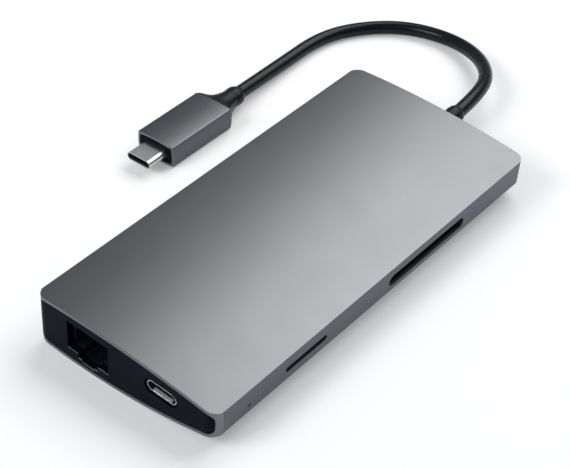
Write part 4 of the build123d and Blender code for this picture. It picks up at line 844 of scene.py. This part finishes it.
# floor, sky and lamps; colours are linear, powers in watts
studio = {
    "boxAt": (0.06, 0.614, 0.787),   # m, overhead softbox behind the hub
    "boxSize": (1.02, 0.68),
    "boxPower": 8.4,
    "boxTint": (1.0, 0.99, 0.97),
    "fillAt": (-0.36, -0.80, 0.78),      # m, front lamp, low and to the left
    "fillSize": (0.55, 0.40),
    "fillPower": 6.0,
    "skyDark": (0.205, 0.220, 0.250),    # towards the back and the right
    "skyBright": (0.50, 0.51, 0.54),     # towards the front and the left
    "skyTurn": (-0.5, -0.85, 0.15),
    "skySpan": (-0.05, 0.65),            # where along that turn it goes from dark to bright
    "floorSize": 8,              # m
    "floorColour": 0.70,
    "floorGlow": 0.22,           # added where the floor is seen near the object
    "fade": (0.4, 1.8),          # m from the middle, to the white of the sky
}


def addSoftbox(name, at, size, power, tint=(1, 1, 1)):    # it looks at the origin
    data = bpy.data.lights.new(name, "AREA")
    data.shape = "RECTANGLE"
    data.size, data.size_y = size
    data.energy = power
    data.color = tint
    lamp = bpy.data.objects.new(name, data)
    bpy.context.scene.collection.objects.link(lamp)
    lamp.location = at
    lamp.rotation_mode = "QUATERNION"
    lamp.rotation_quaternion = (-Vector(at)).to_track_quat("-Z", "Y")


def seenDirectly(tree):    # 1 for what the camera, metal or glass sees
    path = tree.nodes.new("ShaderNodeLightPath")
    first = addNode(tree, "ShaderNodeMath", operation="MAXIMUM")
    second = addNode(tree, "ShaderNodeMath", operation="MAXIMUM")
    tree.links.new(path.outputs["Is Camera Ray"], first.inputs[0])
    tree.links.new(path.outputs["Is Glossy Ray"], first.inputs[1])
    tree.links.new(first.outputs[0], second.inputs[0])
    tree.links.new(path.outputs["Is Transmission Ray"], second.inputs[1])
    return second.outputs[0]


def addFloor():
    bpy.ops.mesh.primitive_plane_add(size=studio["floorSize"], location=(0, 0, 0))
    floor = bpy.context.object
    floor.name = "studioFloor"
    material = bpy.data.materials.new("studioFloor")
    material.use_nodes = True
    tree = material.node_tree
    tree.nodes.remove(tree.nodes["Principled BSDF"])
    paint = addNode(tree, "ShaderNodeBsdfDiffuse", Color=(*[studio["floorColour"]] * 3, 1))
    glow = addNode(tree, "ShaderNodeEmission")
    away = addNode(tree, "ShaderNodeVectorMath", operation="LENGTH")
    tree.links.new(tree.nodes.new("ShaderNodeTexCoord").outputs["Object"], away.inputs[0])
    fade = addNode(tree, "ShaderNodeMapRange", interpolation_type="SMOOTHSTEP")
    fade.inputs["From Min"].default_value, fade.inputs["From Max"].default_value = studio["fade"]
    fade.inputs["To Min"].default_value = studio["floorGlow"]
    tree.links.new(away.outputs["Value"], fade.inputs["Value"])
    lift = addNode(tree, "ShaderNodeMath", operation="MULTIPLY")
    tree.links.new(fade.outputs["Result"], lift.inputs[1])
    tree.links.new(seenDirectly(tree), lift.inputs[0])
    tree.links.new(lift.outputs[0], glow.inputs["Strength"])
    both = tree.nodes.new("ShaderNodeAddShader")
    tree.links.new(paint.outputs[0], both.inputs[0])
    tree.links.new(glow.outputs[0], both.inputs[1])
    tree.links.new(both.outputs[0], tree.nodes["Material Output"].inputs["Surface"])
    floor.data.materials.append(material)


def addSky():
    world = bpy.data.worlds.new("studioSky")
    bpy.context.scene.world = world
    world.use_nodes = True
    tree = world.node_tree
    backdrop = tree.nodes["Background"]
    coords = tree.nodes.new("ShaderNodeTexCoord")
    side = addNode(tree, "ShaderNodeVectorMath", operation="DOT_PRODUCT")
    side.inputs[1].default_value = studio["skyTurn"]
    rise = addNode(tree, "ShaderNodeMapRange", interpolation_type="SMOOTHSTEP")
    rise.inputs["From Min"].default_value, rise.inputs["From Max"].default_value = studio["skySpan"]
    shade = addNode(tree, "ShaderNodeMix", data_type="RGBA")
    shade.inputs["A"].default_value = (*studio["skyDark"], 1)
    shade.inputs["B"].default_value = (*studio["skyBright"], 1)
    tree.links.new(coords.outputs["Generated"], side.inputs[0])
    tree.links.new(side.outputs["Value"], rise.inputs["Value"])
    tree.links.new(rise.outputs["Result"], shade.inputs["Factor"])
    path = tree.nodes.new("ShaderNodeLightPath")
    shown = addNode(tree, "ShaderNodeMix", data_type="RGBA")
    shown.inputs["B"].default_value = (1, 1, 1, 1)
    tree.links.new(path.outputs["Is Camera Ray"], shown.inputs["Factor"])
    tree.links.new(shade.outputs["Result"], shown.inputs["A"])
    tree.links.new(shown.outputs["Result"], backdrop.inputs["Color"])


addSoftbox("overheadBox", studio["boxAt"], studio["boxSize"], studio["boxPower"], tint=studio["boxTint"])
addSoftbox("frontFill", studio["fillAt"], studio["fillSize"], studio["fillPower"])
addFloor()
addSky()
bpy.context.scene.view_settings.view_transform = "Standard"
print("studio lit")
